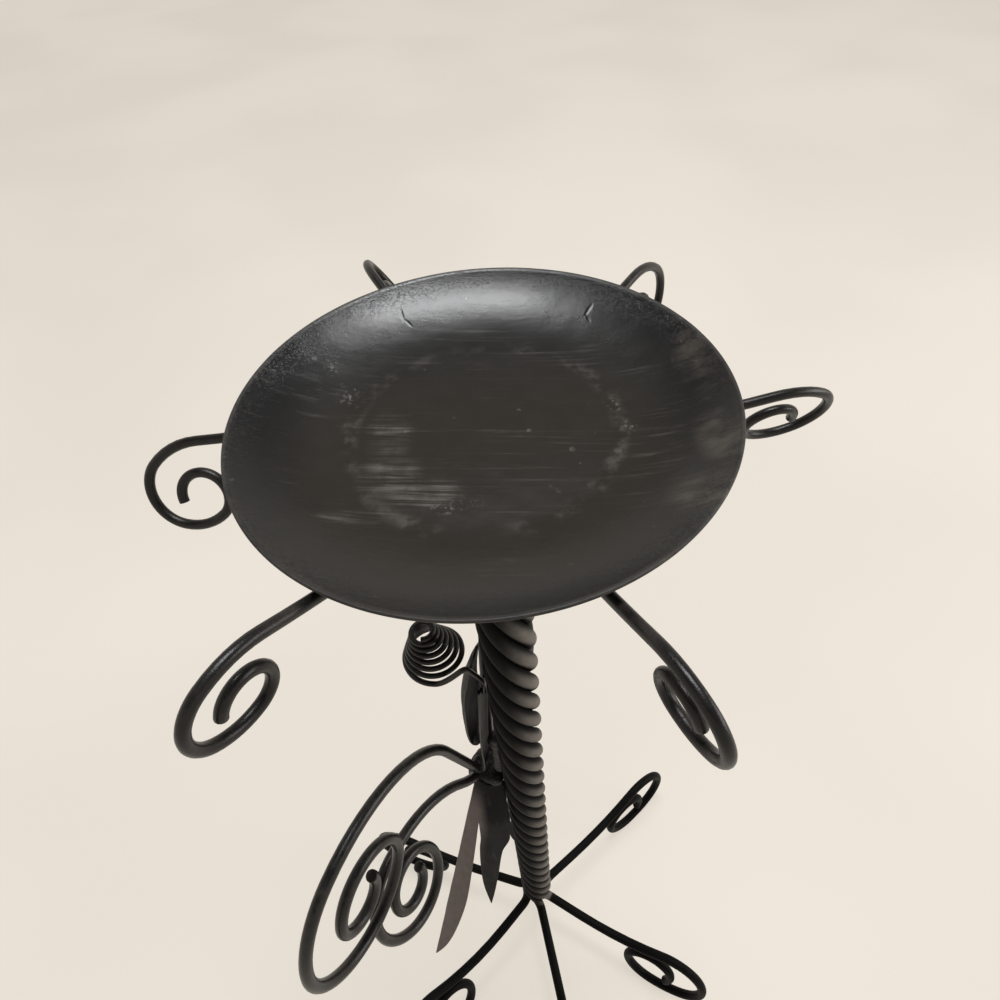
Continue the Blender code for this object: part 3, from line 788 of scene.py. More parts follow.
class Piece:
    """One finished object of the visual model."""

    def __init__(self, name: str, slot: Slot, material: bpy.types.Material) -> None:
        """Name a piece and its finish.

        Args:
            name: Name of the object.
            slot: Material slot of the piece.
            material: The piece's material.
        """
        self.name = name
        self.slot = slot
        self.material = material

    def place(self, shape: bmesh.types.BMesh, replaced: tuple[str, ...] = ()) -> bpy.types.Object:
        """Turn a finished bmesh into an object that rides on the stand.

        Args:
            shape: The mesh, which is freed here.
            replaced: CAD nodes that the piece stands for.

        Returns:
            The new object.
        """
        bmesh.ops.recalc_face_normals(shape, faces=shape.faces)
        for face in shape.faces:
            face.smooth = True
        mesh = bpy.data.meshes.new(self.name)
        shape.to_mesh(mesh)
        shape.free()
        mesh.materials.append(self.material)
        made = bpy.data.objects.new(self.name, mesh)
        bpy.context.scene.collection.objects.link(made)
        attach(made, BODY)
        if replaced:
            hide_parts(*replaced)
        LOG.info("%s: %d faces", self.name, len(mesh.polygons))
        return made


@dataclass
class RodShape:
    """A round rod drawn along a line of points.

    Attributes:
        radius: Radius of the rod.
        sides: Faces round the rod.
        wobble: Share by which the radius varies, as hand-drawn bar does.
        chamfer: Width of the worn edge at each cut end.
        seed: Place of the variation in its noise.
        cycles: Cycles a metre of the variation.
    """

    radius: float
    sides: int = 16
    wobble: float = 0.02
    chamfer: float = 0.0003
    seed: float = 0.0
    cycles: float = 90.0

    def draw(self, points: list[Vector], swell: list[float] | None = None) -> bmesh.types.BMesh:
        """Extrude a ring of edges through the points.

        Args:
            points: Centre line of the rod.
            swell: Factor of the radius at each point.

        Returns:
            The closed rod as a bmesh.
        """
        shape = bmesh.new()
        headings = [(points[1] - points[0]).normalized()]
        for before, after in zip(points, points[2:]):
            headings.append((after - before).normalized())
        headings.append((points[-1] - points[-2]).normalized())
        turn = headings[0].to_track_quat("Z", "Y").to_matrix().to_4x4()
        place = Matrix.Translation(points[0]) @ turn
        factors = [
            (swell[i] if swell else 1.0) * (1.0 + self.wobble * uneven(point, self.cycles, self.seed))
            for i, point in enumerate(points)
        ]
        size = self.radius * factors[0]
        bmesh.ops.create_circle(shape, cap_ends=True, segments=self.sides, radius=size, matrix=place)
        ring = list(shape.edges)
        first = ring
        for index in range(1, len(points)):
            grown = bmesh.ops.extrude_edge_only(shape, edges=ring)["geom"]
            corners = [item for item in grown if isinstance(item, bmesh.types.BMVert)]
            chosen = set(corners)
            ring = [e for e in grown if isinstance(e, bmesh.types.BMEdge) and set(e.verts) <= chosen]
            swing = headings[index - 1].rotation_difference(headings[index]).to_matrix()
            size = factors[index] / factors[index - 1]
            back = Matrix.Translation(-points[index - 1])
            move = Matrix.Translation(points[index]) @ (swing * size).to_4x4() @ back
            bmesh.ops.transform(shape, matrix=move, verts=corners)
        bmesh.ops.edgeloop_fill(shape, edges=ring)
        bmesh.ops.bevel(
            shape,
            geom=first + ring,
            offset=self.chamfer,
            segments=2,
            profile=0.5,
            affect="EDGES",
            material=-1,
            clamp_overlap=True,
        )
        return shape


@dataclass
class WeldShape:
    """A run of weld beads laid one over the next.

    Attributes:
        radius: Radius of one bead.
        flat: Height of a bead beside its width.
        seed: Place of the beads' unevenness in its noise.
        spread: Share by which the beads' sizes differ.
        ripple: Height of the ripples on a bead beside its radius.
        cycles: Cycles a metre of the differences in size and of the ripples.
        fineness: Faces of the finished skin along the radius of a bead.
    """

    radius: float
    flat: float = 0.75
    seed: float = 1.0
    spread: float = 0.18
    ripple: float = 0.10
    cycles: tuple[float, float] = (400.0, 1400.0)
    fineness: int = 6

    def draw(self, points: list[Vector], up: Vector) -> bmesh.types.BMesh:
        """Lay a bead at each point.

        Args:
            points: Middles of the beads.
            up: Direction in which the beads stand up.

        Returns:
            The run as a bmesh of overlapping beads.
        """
        shape = bmesh.new()
        turn = up.normalized().to_track_quat("Z", "Y").to_matrix().to_4x4()
        for index, point in enumerate(points):
            size = self.radius * (1.0 + self.spread * uneven(point, self.cycles[0], self.seed + index))
            squeeze = Matrix.Diagonal((1.0, 1.0, self.flat, 1.0))
            place = Matrix.Translation(point) @ turn @ squeeze
            bmesh.ops.create_icosphere(shape, subdivisions=3, radius=size, matrix=place)
        for vert in shape.verts:
            rise = uneven(vert.co, self.cycles[1], self.seed)
            vert.co += vert.co.normalized() * self.radius * self.ripple * rise
        return shape

    def place(
        self,
        name: str,
        skin: bpy.types.Material,
        points: list[Vector],
        up: Vector = UPWARD,
        replaced: tuple[str, ...] = (),
    ) -> None:
        """Lay the beads and melt them into one skin.

        Args:
            name: Name of the piece.
            skin: Material of the weld.
            points: Middles of the beads.
            up: Direction in which the beads stand up.
            replaced: CAD nodes that the weld stands for.
        """
        made = Piece(name, Slot.WELD, skin).place(self.draw(points, up), replaced)
        melt = made.modifiers.new("melt", "REMESH")
        melt.mode = "VOXEL"
        melt.voxel_size = self.radius / self.fineness
        melt.use_smooth_shade = True


# Parts of the stand


@dataclass
class Dish:
    """The pressed candle dish.

    Attributes:
        radius: Radius of the rim inside its lip.
        depth: Height of the rim over the floor.
        floor_radius: Radius of the flat floor.
        sheet: Thickness of the plate.
        lip: Radius of the rolled lip.
        segments: Faces round the dish.
        floor_rings: Rings of faces on the flat floor.
        slope_rings: Rings of faces on the slope.
        lip_step: Turn of one face of the lip.
        lip_shift: How far the lip's middle stands outside the slope's end.
        waves: Height, cycles a metre and place in the noise of the slow and the fine waves.
    """

    radius: float = 0.0595
    depth: float = 0.009
    floor_radius: float = 0.030
    sheet: float = 0.0009
    lip: float = 0.00045
    segments: int = 288
    floor_rings: int = 16
    slope_rings: int = 34
    lip_step: float = 20.0
    lip_shift: float = 0.0001
    waves: Rows = ((0.00022, 28.0, 3.0), (0.00005, 160.0, 5.0))

    def height(self, radius: float) -> float:
        """Read the height of the upper face.

        Args:
            radius: Distance from the dish's middle.

        Returns:
            The height over the floor.
        """
        if radius <= self.floor_radius:
            return 0.0
        width = self.radius - self.floor_radius
        sweep = (width**2 + self.depth**2) / (2 * self.depth)
        return sweep - math.sqrt(sweep**2 - (radius - self.floor_radius) ** 2)

    def _profile(self) -> list[Vector]:
        """Draw the plate's section.

        Returns:
            Points from the middle of the upper face round the lip to the middle of the underside.
        """
        floor = [self.floor_radius * i / self.floor_rings for i in range(self.floor_rings + 1)]
        width = self.radius - self.floor_radius
        rings = range(1, self.slope_rings + 1)
        slope = [self.floor_radius + width * i / self.slope_rings for i in rings]
        top = [Vector((r, 0.0, self.height(r))) for r in floor + slope]
        middle = Vector((self.radius + self.lip_shift, 0.0, self.depth - self.lip))
        turns = [math.radians(self.lip_step * (i + 1)) for i in range(8)]
        lip = [middle + Vector((math.sin(turn), 0.0, math.cos(turn))) * self.lip for turn in turns]
        below = [Vector((r, 0.0, self.height(r) - self.sheet)) for r in reversed(floor[1:] + slope[:-1])]
        return top + lip + below + [Vector((0.0, 0.0, -self.sheet))]

    def _settle(self, point: Vector) -> Vector:
        """Add the plate's slight waviness.

        Args:
            point: A point of the even plate.

        Returns:
            The point moved up or down.
        """
        radius = math.hypot(point.x, point.y)
        flat = Vector((point.x, point.y, 0.0))
        slow, fine = (height * uneven(flat, cycles, seed) for height, cycles, seed in self.waves)
        rise = slow * min(1.0, radius / self.floor_radius) + fine
        return point + Vector((0.0, 0.0, rise if radius < self.radius - 0.0005 else rise * 0.6))

    def build(self, finish: WornDish) -> None:
        """Spin the plate and dress it.

        Args:
            finish: Finish of the dish.
        """
        shape = bmesh.new()
        corners = [shape.verts.new(point) for point in self._profile()]
        edges = [shape.edges.new(pair) for pair in zip(corners, corners[1:])]
        bmesh.ops.spin(
            shape,
            geom=corners + edges,
            cent=(0.0, 0.0, 0.0),
            axis=(0.0, 0.0, 1.0),
            angle=math.tau,
            steps=self.segments,
            use_merge=True,
        )
        bmesh.ops.remove_doubles(shape, verts=shape.verts, dist=0.000002)
        for vert in shape.verts:
            vert.co = self._settle(vert.co)
        Piece("dish_plate", Slot.DISH, finish.material("dish_worn_paint")).place(shape, ("candle_dish",))


@dataclass
class Column:
    """Rods twisted round a core, whose lower ends spread and curl as the legs.

    Attributes:
        rod_radius: Radius of a rod in its leg.
        packed: Factor of the radius where the rods press against each other in the twist.
        spacing: Gap that the pitch circle leaves between two rods.
        turn_length: Length of one full turn of the twist.
        top: Height of the rods' tops.
        length: Length of the twist.
        legs: Azimuth, lean and size of each leg.
        leg_length: Length of rod in a leg of size 1.
        leg_bends: Bends of a leg.
        leg_slope: Slope of a leg's start, downwards.
        leg_height: Drop from the twist's foot to the feet's lowest line.
        spread_radius: Distance from the axis at which a leg's flat plane starts.
        spread_drop: Drop of that place below the twist.
        spread_pull: Strength with which the run from the twist to that place keeps its directions.
        twist_in: How far before its leg's azimuth a rod leaves the twist.
        steps_per_turn: Points on a rod in one turn of the twist.
        run_pieces: Straight pieces of the run from the twist to a leg's plane.
        bend_step: Turn of one straight piece of a leg.
        crown: Inset from the twist's surface and drop below its top of the weld under the dish.
        knot: Distance from the axis, drop and drop in the middle of the weld under the twist.
    """

    rod_radius: float = 0.0030
    packed: float = 1.07
    spacing: float = 0.0011
    turn_length: float = 0.099
    top: float = -0.0015
    length: float = 0.448
    legs: Rows = (
        (34.9, -4.2, 1.018),
        (97.0, 0.0, 1.0),
        (157.7, 2.7, 1.0),
        (219.4, 18.0, 1.0),
        (277.6, 1.4, 1.0),
        (326.8, -9.1, 0.981),
    )
    leg_length: float = 0.2635
    leg_bends: Bends = (
        (0.0797, -1.0),
        (0.2353, -28.0),
        (0.26, 172.0),
        (0.0873, 35.0),
        (0.0854, 57.0),
        (0.2523, 241.0),
    )
    leg_slope: float = 5.8
    leg_height: float = 0.0465
    spread_radius: float = 0.015
    spread_drop: float = 0.008
    spread_pull: float = 1.3
    twist_in: float = 26.0
    steps_per_turn: int = 40
    run_pieces: int = 14
    bend_step: float = 6.0
    crown: tuple[float, float] = (0.0012, 0.0006)
    knot: Triple = (0.0045, 0.0050, 0.0055)

    @property
    def pitch(self) -> float:
        """Return the radius of the rods' centre circle."""
        return (2 * self.rod_radius + self.spacing) / (2 * math.sin(math.pi / len(self.legs)))

    @property
    def radius(self) -> float:
        """Return the radius of the twist over the rods."""
        return self.pitch + self.rod_radius

    @property
    def bottom(self) -> float:
        """Return the height at which the rods leave the twist."""
        return self.top - self.length

    def rod_azimuth(self, index: int) -> float:
        """Return where a rod leaves the twist."""
        return self.legs[0][0] + 360.0 * index / len(self.legs) - self.twist_in

    def crest_drop(self, azimuth: float, drop: float) -> float:
        """Find where a rod's crest faces an azimuth.

        Args:
            azimuth: Azimuth that the crest faces.
            drop: Wished drop below the dish's floor.

        Returns:
            The nearest drop that fits.
        """
        one_rod = self.turn_length / len(self.legs)
        height = self.bottom + self.turn_length / 360.0 * (self.rod_azimuth(0) - azimuth)
        return -height - one_rod * round((-height - drop) / one_rod)

    def _rod_line(self, index: int) -> tuple[list[Vector], list[float]]:
        """Draw one rod's line through twist and leg.

        Args:
            index: Number of the rod, from 0.

        Returns:
            The rod's centre line, and the factor of its radius at each point.
        """
        azimuth, lean, size = self.legs[index]
        turns = self.length / self.turn_length
        steps = math.ceil(turns * self.steps_per_turn)
        points = []
        for step in range(steps + 1):
            share = step / steps
            turned = self.rod_azimuth(index) - 360.0 * turns * (1.0 - share)
            points.append(circle_point(self.pitch, turned, self.top - self.length * share))
        factors = [self.packed] * len(points)
        last = points[-1]
        spread = circle_point(self.spread_radius, azimuth, self.bottom - self.spread_drop)
        flat = bend_path(self.leg_length * size, self.leg_bends, self.leg_slope, self.bend_step)
        foot_drop = (self.leg_height - self.spread_drop) / math.cos(math.radians(lean))
        stretch = foot_drop / max(down for _, down in flat)
        path = stand_up([(out, down * stretch) for out, down in flat], spread, azimuth, lean)
        pull = (spread - last).length * self.spread_pull
        leave = (points[-1] - points[-2]).normalized() * pull
        arrive = (path[1] - path[0]).normalized() * pull
        run = hermite(last, leave, spread, arrive, self.run_pieces)
        for step in range(len(run)):
            factors.append(self.packed + (1.0 - self.packed) * (step + 1) / len(run))
        factors += [1.0] * len(path)
        return points + run + path, factors

    def build(self, finish: TwistedIron, weld: WeldScale) -> None:
        """Draw the rods and the welds at both ends of the twist.

        Args:
            finish: Finish of the rods.
            weld: Finish of the welds.
        """
        paint = finish.material("column_satin_paint")
        for index in range(len(self.legs)):
            rod = RodShape(self.rod_radius, 20, 0.018, 0.0004, 2.0 + index)
            points, factors = self._rod_line(index)
            piece = Piece(f"column_bar_{index + 1}", Slot.COLUMN, paint)
            piece.place(rod.draw(points, factors), (f"column_rod_{index + 1}",))
        skin = weld.material("weld_skin")
        inset, drop = self.crown
        ring = bead_ring(24, self.radius - inset, self.top - drop)
        WeldShape(0.0015, 0.8, 11.0).place("weld_under_dish", skin, ring)
        radius, drop, middle_drop = self.knot
        knot = bead_ring(6, radius, self.bottom - drop, 20.0)
        knot += [Vector((0.0, 0.0, self.bottom - middle_drop))]
        WeldShape(0.0034, 0.7, 12.0).place("weld_leg_root", skin, knot)


@dataclass
class Arms:
    """Scroll arms of thin wire under the dish.

    Attributes:
        column: The column that carries the arms.
        dish: The dish over them.
        wire: Radius of the wire.
        root_drop: Drop of the roots below the dish's floor.
        reach: Distance from the axis at which a stem ends.
        space: Unit of the space between a stem's end and the dish.
        rows: Azimuth, lean, share of the space, slope and size of each arm.
        scroll_length: Length of wire in a scroll.
        bends: Bends of a scroll.
        seam: Gap between the wire and the plate before that space is added.
        stem_pieces: Straight pieces of a stem.
        bend_step: Turn of one straight piece of a scroll.
        touch: Gap between the wire and the plate up to which a weld fills it.
        root_beads: Shares of a stem's first piece at which the root's weld beads lie.
        seam_beads: Places of the upper weld's beads along the wire.
    """

    column: Column
    dish: Dish
    wire: float = 0.0014
    root_drop: float = 0.024
    reach: float = 0.051
    space: float = 0.0036
    rows: tuple[tuple[float, float, float, float, float], ...] = (
        (168.6, 26.3, 1.0, 10.6, 1.06),
        (233.7, -3.9, 0.14, -22.5, 0.939),
        (292.5, 6.8, 0.58, -19.9, 0.922),
        (7.8, 20.0, 3.28, -3.9, 1.079),
        (51.3, -2.4, 0.75, 0.7, 1.18),
        (110.2, -30.0, 0.86, -11.0, 0.975),
    )
    scroll_length: float = 0.100
    bends: Bends = ((0.245, -3.5), (0.15, 42.0), (0.21, 123.0), (0.12, 51.0), (0.275, 245.0))
    seam: float = 0.0006
    stem_pieces: int = 18
    bend_step: float = 7.0
    touch: float = 0.0016
    root_beads: Triple = (-0.2, 0.3, 0.8)
    seam_beads: tuple[float, ...] = (-0.0026, -0.0013, 0.0, 0.0013, 0.0026)

    def _stem(
        self, root: tuple[float, float], end: tuple[float, float], slope: float
    ) -> list[tuple[float, float]]:
        """Roll the arc from the column to the reach.

        Args:
            root: First point as (out, down) lengths.
            end: Last point.
            slope: Slope at the last point, downwards.

        Returns:
            The arc's points without the last one.
        """
        out, down = end[0] - root[0], end[1] - root[1]
        half_turn = math.radians(slope) - math.atan2(down, out)
        heading = math.atan2(down, out) - half_turn
        length = math.hypot(out, down) * half_turn / math.sin(half_turn)
        part = 2 * half_turn / self.stem_pieces
        chord = length / self.stem_pieces * math.sin(part / 2) / (part / 2)
        spot = root
        points = []
        for _ in range(self.stem_pieces):
            points.append(spot)
            middle = heading + part / 2
            spot = (spot[0] + chord * math.cos(middle), spot[1] + chord * math.sin(middle))
            heading += part
        return points

    def line(self, index: int) -> list[Vector]:
        """Draw one arm's line from the column to the end of its scroll.

        Args:
            index: Number of the arm, from 0.

        Returns:
            The arm's centre line.
        """
        azimuth, lean, share, slope, size = self.rows[index]
        plate = self.dish.height(self.reach) - self.dish.sheet
        under = plate - self.seam - self.wire - self.space * share
        drop = self.column.crest_drop(azimuth, self.root_drop)
        rise = math.atan2(drop + under, self.reach - self.column.radius)
        slant = abs(math.sin(2 * rise + math.radians(slope)))
        root = (self.column.radius + self.wire * slant, drop)
        arc = self._stem(root, (self.reach, -under), slope)
        stem = [circle_point(out, azimuth, -down) for out, down in arc]
        start = circle_point(self.reach, azimuth, under)
        scroll = bend_path(self.scroll_length * size, self.bends, slope, self.bend_step)
        return stem + stand_up(scroll, start, azimuth, lean)

    def build(self, finish: SatinIron, weld: WeldScale) -> None:
        """Draw the arms and their welds to the column and the dish.

        Args:
            finish: Finish of the arms.
            weld: Finish of the welds.
        """
        paint = finish.material("arm_satin_paint")
        skin = weld.material("arm_weld_skin")
        for index in range(len(self.rows)):
            points = self.line(index)
            rod = RodShape(self.wire, 14, 0.02, 0.0002, 20.0 + index)
            piece = Piece(f"arm_scroll_{index + 1}", Slot.ARM, paint)
            piece.place(rod.draw(points), (f"dish_arm_{index + 1}",))
            root = points[0]
            beads = [root + (points[1] - root) * share for share in self.root_beads]
            welded = WeldShape(0.0016, 0.85, 30.0 + index)
            welded.place(f"weld_arm_root_{index + 1}", skin, beads, root.normalized())
            gaps = [
                (self.dish.height(math.hypot(p.x, p.y)) - self.dish.sheet - p.z, i)
                for i, p in enumerate(points)
                if math.hypot(p.x, p.y) < self.reach + 0.003
            ]
            gap, nearest = min(gaps)
            if gap < self.wire + self.touch:
                spot = points[nearest] + Vector((0.0, 0.0, gap * 0.55))
                along = (points[nearest + 1] - points[nearest - 1]).normalized()
                beads = [spot + along * shift for shift in self.seam_beads]
                welded = WeldShape(0.0013, 0.8, 40.0 + index)
                welded.place(f"weld_arm_dish_{index + 1}", skin, beads)


@dataclass
class Angel:
    """The angel's own frame: forward is away from the column, near is the camera's side.

    Attributes:
        column: The column that carries the angel.
        azimuth: Azimuth that the angel faces.
        drop: Drop of the gown's top edge below the dish's floor.
    """

    column: Column
    azimuth: float = 160.0
    drop: float = 0.227

    def world(self, point: Vector) -> Vector:
        """Return a point given by its forward, near and rise lengths."""
        foot = circle_point(self.column.radius, self.azimuth, -self.drop)
        return foot + Matrix.Rotation(math.radians(self.azimuth), 3, "Z") @ point


@dataclass
class ShapedStrip:
    """A curved strip of sheet on the angel's front, shaped by a table.

    Attributes:
        top_rise: Rise of the strip's top above the waist.
        length: Length of the strip.
        reach: How far forward the strip stands where a row says 1.
        half_width: Half width of the strip where a row says 1.
        curve_radius: Radius of the curve from side to side.
        rows: Share of the length, with the forward reach and the width there.
    """

    top_rise: float
    length: float
    reach: float
    half_width: float
    curve_radius: float
    rows: Rows

    def point(self, across: float, share: float, dip: float = 0.0) -> Vector:
        """Find a point of the strip.

        Args:
            across: Place from side to side, from -1 to 1.
            share: Place from the top to the foot, from 0 to 1.
            dip: Drop of the point below its place on the plain strip.

        Returns:
            The point as forward, near and rise lengths.
        """
        forward, wide = smooth_row(self.rows, share)
        side = across * wide * self.half_width
        bow = self.curve_radius - math.sqrt(self.curve_radius**2 - side**2)
        return Vector((forward * self.reach - bow, side, self.top_rise - self.length * share - dip))


@dataclass
class BodyStrip(ShapedStrip):
    """The hourglass strip from the notched top to the gown.

    Its sizes are those of every shaped strip, and the notch.

    Attributes:
        notch: Depth of the notch in the strip's top.
        notch_slopes: How fast the notch ends to the sides, and down the strip.
    """

    top_rise: float = 0.087
    length: float = 0.080
    reach: float = 0.0087
    half_width: float = 0.0058
    curve_radius: float = 0.0140
    rows: Rows = (
        (0.0, 0.45, 0.78),
        (0.19, 0.59, 1.0),
        (0.44, 0.77, 0.98),
        (0.75, 0.92, 0.84),
        (0.91, 0.93, 0.90),
        (1.0, 1.0, 1.0),
    )
    notch: float = 0.0020
    notch_slopes: tuple[float, float] = (1.6, 9.0)

    def notched(self, across: float, share: float) -> Vector:
        """Find a point of the strip, lowered where the notch cuts into its top.

        Args:
            across: Place from side to side, from -1 to 1.
            share: Place from the top to the foot, from 0 to 1.

        Returns:
            The point as forward, near and rise lengths.
        """
        aside, down = self.notch_slopes
        dip = self.notch * max(0.0, 1.0 - abs(across) * aside) * max(0.0, 1.0 - share * down)
        return self.point(across, share, dip)

    def forward(self, rise: float) -> float:
        """Return how far forward the strip's middle stands at a rise."""
        return self.point(0.0, (self.top_rise - rise) / self.length).x


@dataclass
class Head:
    """The coil of wire that stands for the head, with its neck.

    Attributes:
        angel: The figure's frame.
        body: The strip behind which the neck runs down.
        wire: Radius of the wire.
        loops: Loops in the coil.
        crowd: Power below 1 by which the upper loops lie closer together.
        widen: Power above 1 by which the lower loops spread further than the upper ones.
        loop_points: Points of the centre line in one loop.
        base_radius: Radius of the lowest loop.
        top_radius: Radius of the highest loop.
        height: Height of the coil.
        forward: How far forward the coil's foot stands.
        lean: How much further forward its top stands.
        base_rise: Rise of the coil's foot.
        tail_azimuth: Azimuth at which the wire leaves the coil, counted from forward.
        bend: Place at which the neck bends inwards, as forward, near and rise lengths.
        turn: Place at which the neck turns down, given in the same way.
        overlap: Length that the neck runs down behind the strip.
        neck_pieces: Straight pieces of the neck's bend, and of each part below it.
        beads: Places of the neck's weld beads above the weld's middle.
    """

    angel: Angel
    body: BodyStrip
    wire: float = 0.0011
    loops: int = 7
    crowd: float = 0.88
    widen: float = 1.30
    loop_points: int = 48
    base_radius: float = 0.0120
    top_radius: float = 0.0040
    height: float = 0.0175
    forward: float = 0.0204
    lean: float = 0.0030
    base_rise: float = 0.103
    tail_azimuth: float = 105.0
    bend: Triple = (0.0040, 0.0078, 0.113)
    turn: Triple = (0.0018, 0.0030, 0.0975)
    overlap: float = 0.0070
    neck_pieces: tuple[int, int] = (16, 6)
    beads: Triple = (-0.0016, 0.0, 0.0014)

    def line(self) -> list[Vector]:
        """Draw the coil, the bend and the neck.

        Returns:
            The wire's centre line, as forward, near and rise lengths.
        """
        count = self.loops * self.loop_points
        points = []
        for index in range(count + 1):
            share = index / count
            radius = self.top_radius + (self.base_radius - self.top_radius) * share**self.widen
            azimuth = self.tail_azimuth + 360.0 * self.loops * (share - 1.0)
            rise = (1.0 - share) ** self.crowd
            centre = Vector((self.forward + self.lean * rise, 0.0, self.base_rise + self.height * rise))
            points.append(centre + circle_point(radius, azimuth, 0.0))
        leave = (points[-1] - points[-2]).normalized()
        bend, turn = Vector(self.bend), Vector(self.turn)
        run = (bend - points[-1]).length
        arrive = (turn - bend).normalized()
        points += hermite(points[-1], leave * run, bend, arrive * run, self.neck_pieces[0])
        tail = [bend, turn]
        for rise in (self.body.top_rise, self.body.top_rise - self.overlap):
            behind = self.body.forward(rise) - SHEET / 2 - self.wire
            tail.append(Vector((behind, 0.0, rise)))
        for before, start, end, after in zip([points[-1]] + tail, tail, tail[1:], tail[2:] + [tail[-1]]):
            pull_in, pull_out = (end - before) / 2, (after - start) / 2
            points.append(start)
            points += hermite(start, pull_in, end, pull_out, self.neck_pieces[1])
        return points + [tail[-1]]

    def build(self, finish: SatinIron, weld: WeldScale) -> None:
        """Wind the coil and weld its neck to the strip.

        Args:
            finish: Finish of the wire.
            weld: Finish of the weld.
        """
        points = [self.angel.world(point) for point in self.line()]
        rod = RodShape(self.wire, 12, 0.02, 0.0002, 50.0)
        piece = Piece("head_coil", Slot.ROD, finish.material("coil_satin_paint"))
        piece.place(rod.draw(points), ("angel_head",))
        top = Vector((self.body.forward(self.body.top_rise), 0.0, self.body.top_rise))
        middle = Vector(self.turn) * 0.35 + top * 0.65
        beads = [self.angel.world(middle + Vector((0.0, 0.0, shift))) for shift in self.beads]
        skin = weld.material("neck_weld_skin")
        WeldShape(0.0014, 0.8, 51.0).place("weld_neck", skin, beads, Vector((-1, 0.3, 0)))


def sheet_grid(shape: bmesh.types.BMesh, across: int, along: int, place: Placer) -> None:
    """Lay a grid and bend it into a sheet.

    Args:
        shape: The bmesh that takes the grid.
        across: Faces from side to side.
        along: Faces from top to foot.
        place: Function from (across, along) shares of 0 to 1 to a point.
    """
    verts = bmesh.ops.create_grid(shape, x_segments=across, y_segments=along, size=0.5)["verts"]
    for vert in verts:
        vert.co = place(vert.co.x + 0.5, 0.5 - vert.co.y)


def place_sheet(piece: Piece, shape: bmesh.types.BMesh, node: str, edge: str) -> None:
    """Give an open sheet its thickness, rounded edges and the paint on them.

    Args:
        piece: Name, slot and paint of the sheet.
        shape: The sheet's middle face, which is freed here.
        node: CAD node that the sheet stands for.
        edge: Name of the paint on the edges.
    """
    made = piece.place(shape, (node,))
    made.data.materials.append(SatinIron().material(edge))
    solid = made.modifiers.new("thickness", "SOLIDIFY")
    solid.material_offset_rim = 1
    solid.thickness = SHEET
    solid.offset = 0.0
    solid.use_even_offset = True
    bevel = made.modifiers.new("worn_edge", "BEVEL")
    bevel.width = EDGE_ROUND
    bevel.segments = 2
    bevel.profile = 0.5
    bevel.limit_method = "ANGLE"
    bevel.angle_limit = math.radians(50.0)


@dataclass
class Bodice(ShapedStrip):
    """The dished oval sheet of the angel's chest, with the sizes of every shaped strip.

    Attributes:
        wave: Height, cycles a metre and place in the noise of the sheet's waviness.
    """

    top_rise: float = 0.114
    length: float = 0.0865
    reach: float = 0.0127
    half_width: float = 0.0090
    curve_radius: float = 0.0150
    rows: Rows = (
        (0.0, 0.25, 0.22),
        (0.012, 0.28, 0.40),
        (0.04, 0.36, 0.58),
        (0.11, 0.52, 0.76),
        (0.20, 0.69, 0.88),
        (0.32, 0.85, 0.96),
        (0.46, 0.94, 1.0),
        (0.62, 0.99, 0.98),
        (0.76, 1.0, 0.87),
        (0.885, 0.92, 0.66),
        (0.96, 0.81, 0.42),
        (1.0, 0.74, 0.12),
    )
    wave: Triple = (0.00022, 130.0, 60.0)

    def build(self, angel: Angel, finish: SatinIron) -> None:
        """Bend the sheet and dress it.

        Args:
            angel: The figure's frame.
            finish: Finish of the sheet.
        """

        def place(across: float, along: float) -> Vector:
            """Find a point of the slightly wavy sheet.

            Args:
                across: Share of the width.
                along: Share of the height.

            Returns:
                The point in the world.
            """
            local = self.point(across * 2.0 - 1.0, along)
            height, cycles, seed = self.wave
            local.x += height * uneven(local, cycles, seed)
            return angel.world(local)

        shape = bmesh.new()
        sheet_grid(shape, 24, 90, place)
        piece = Piece("bodice_sheet", Slot.SHEET, finish.material("bodice_satin_paint"))
        place_sheet(piece, shape, "angel_bodice", "bodice_edge_paint")


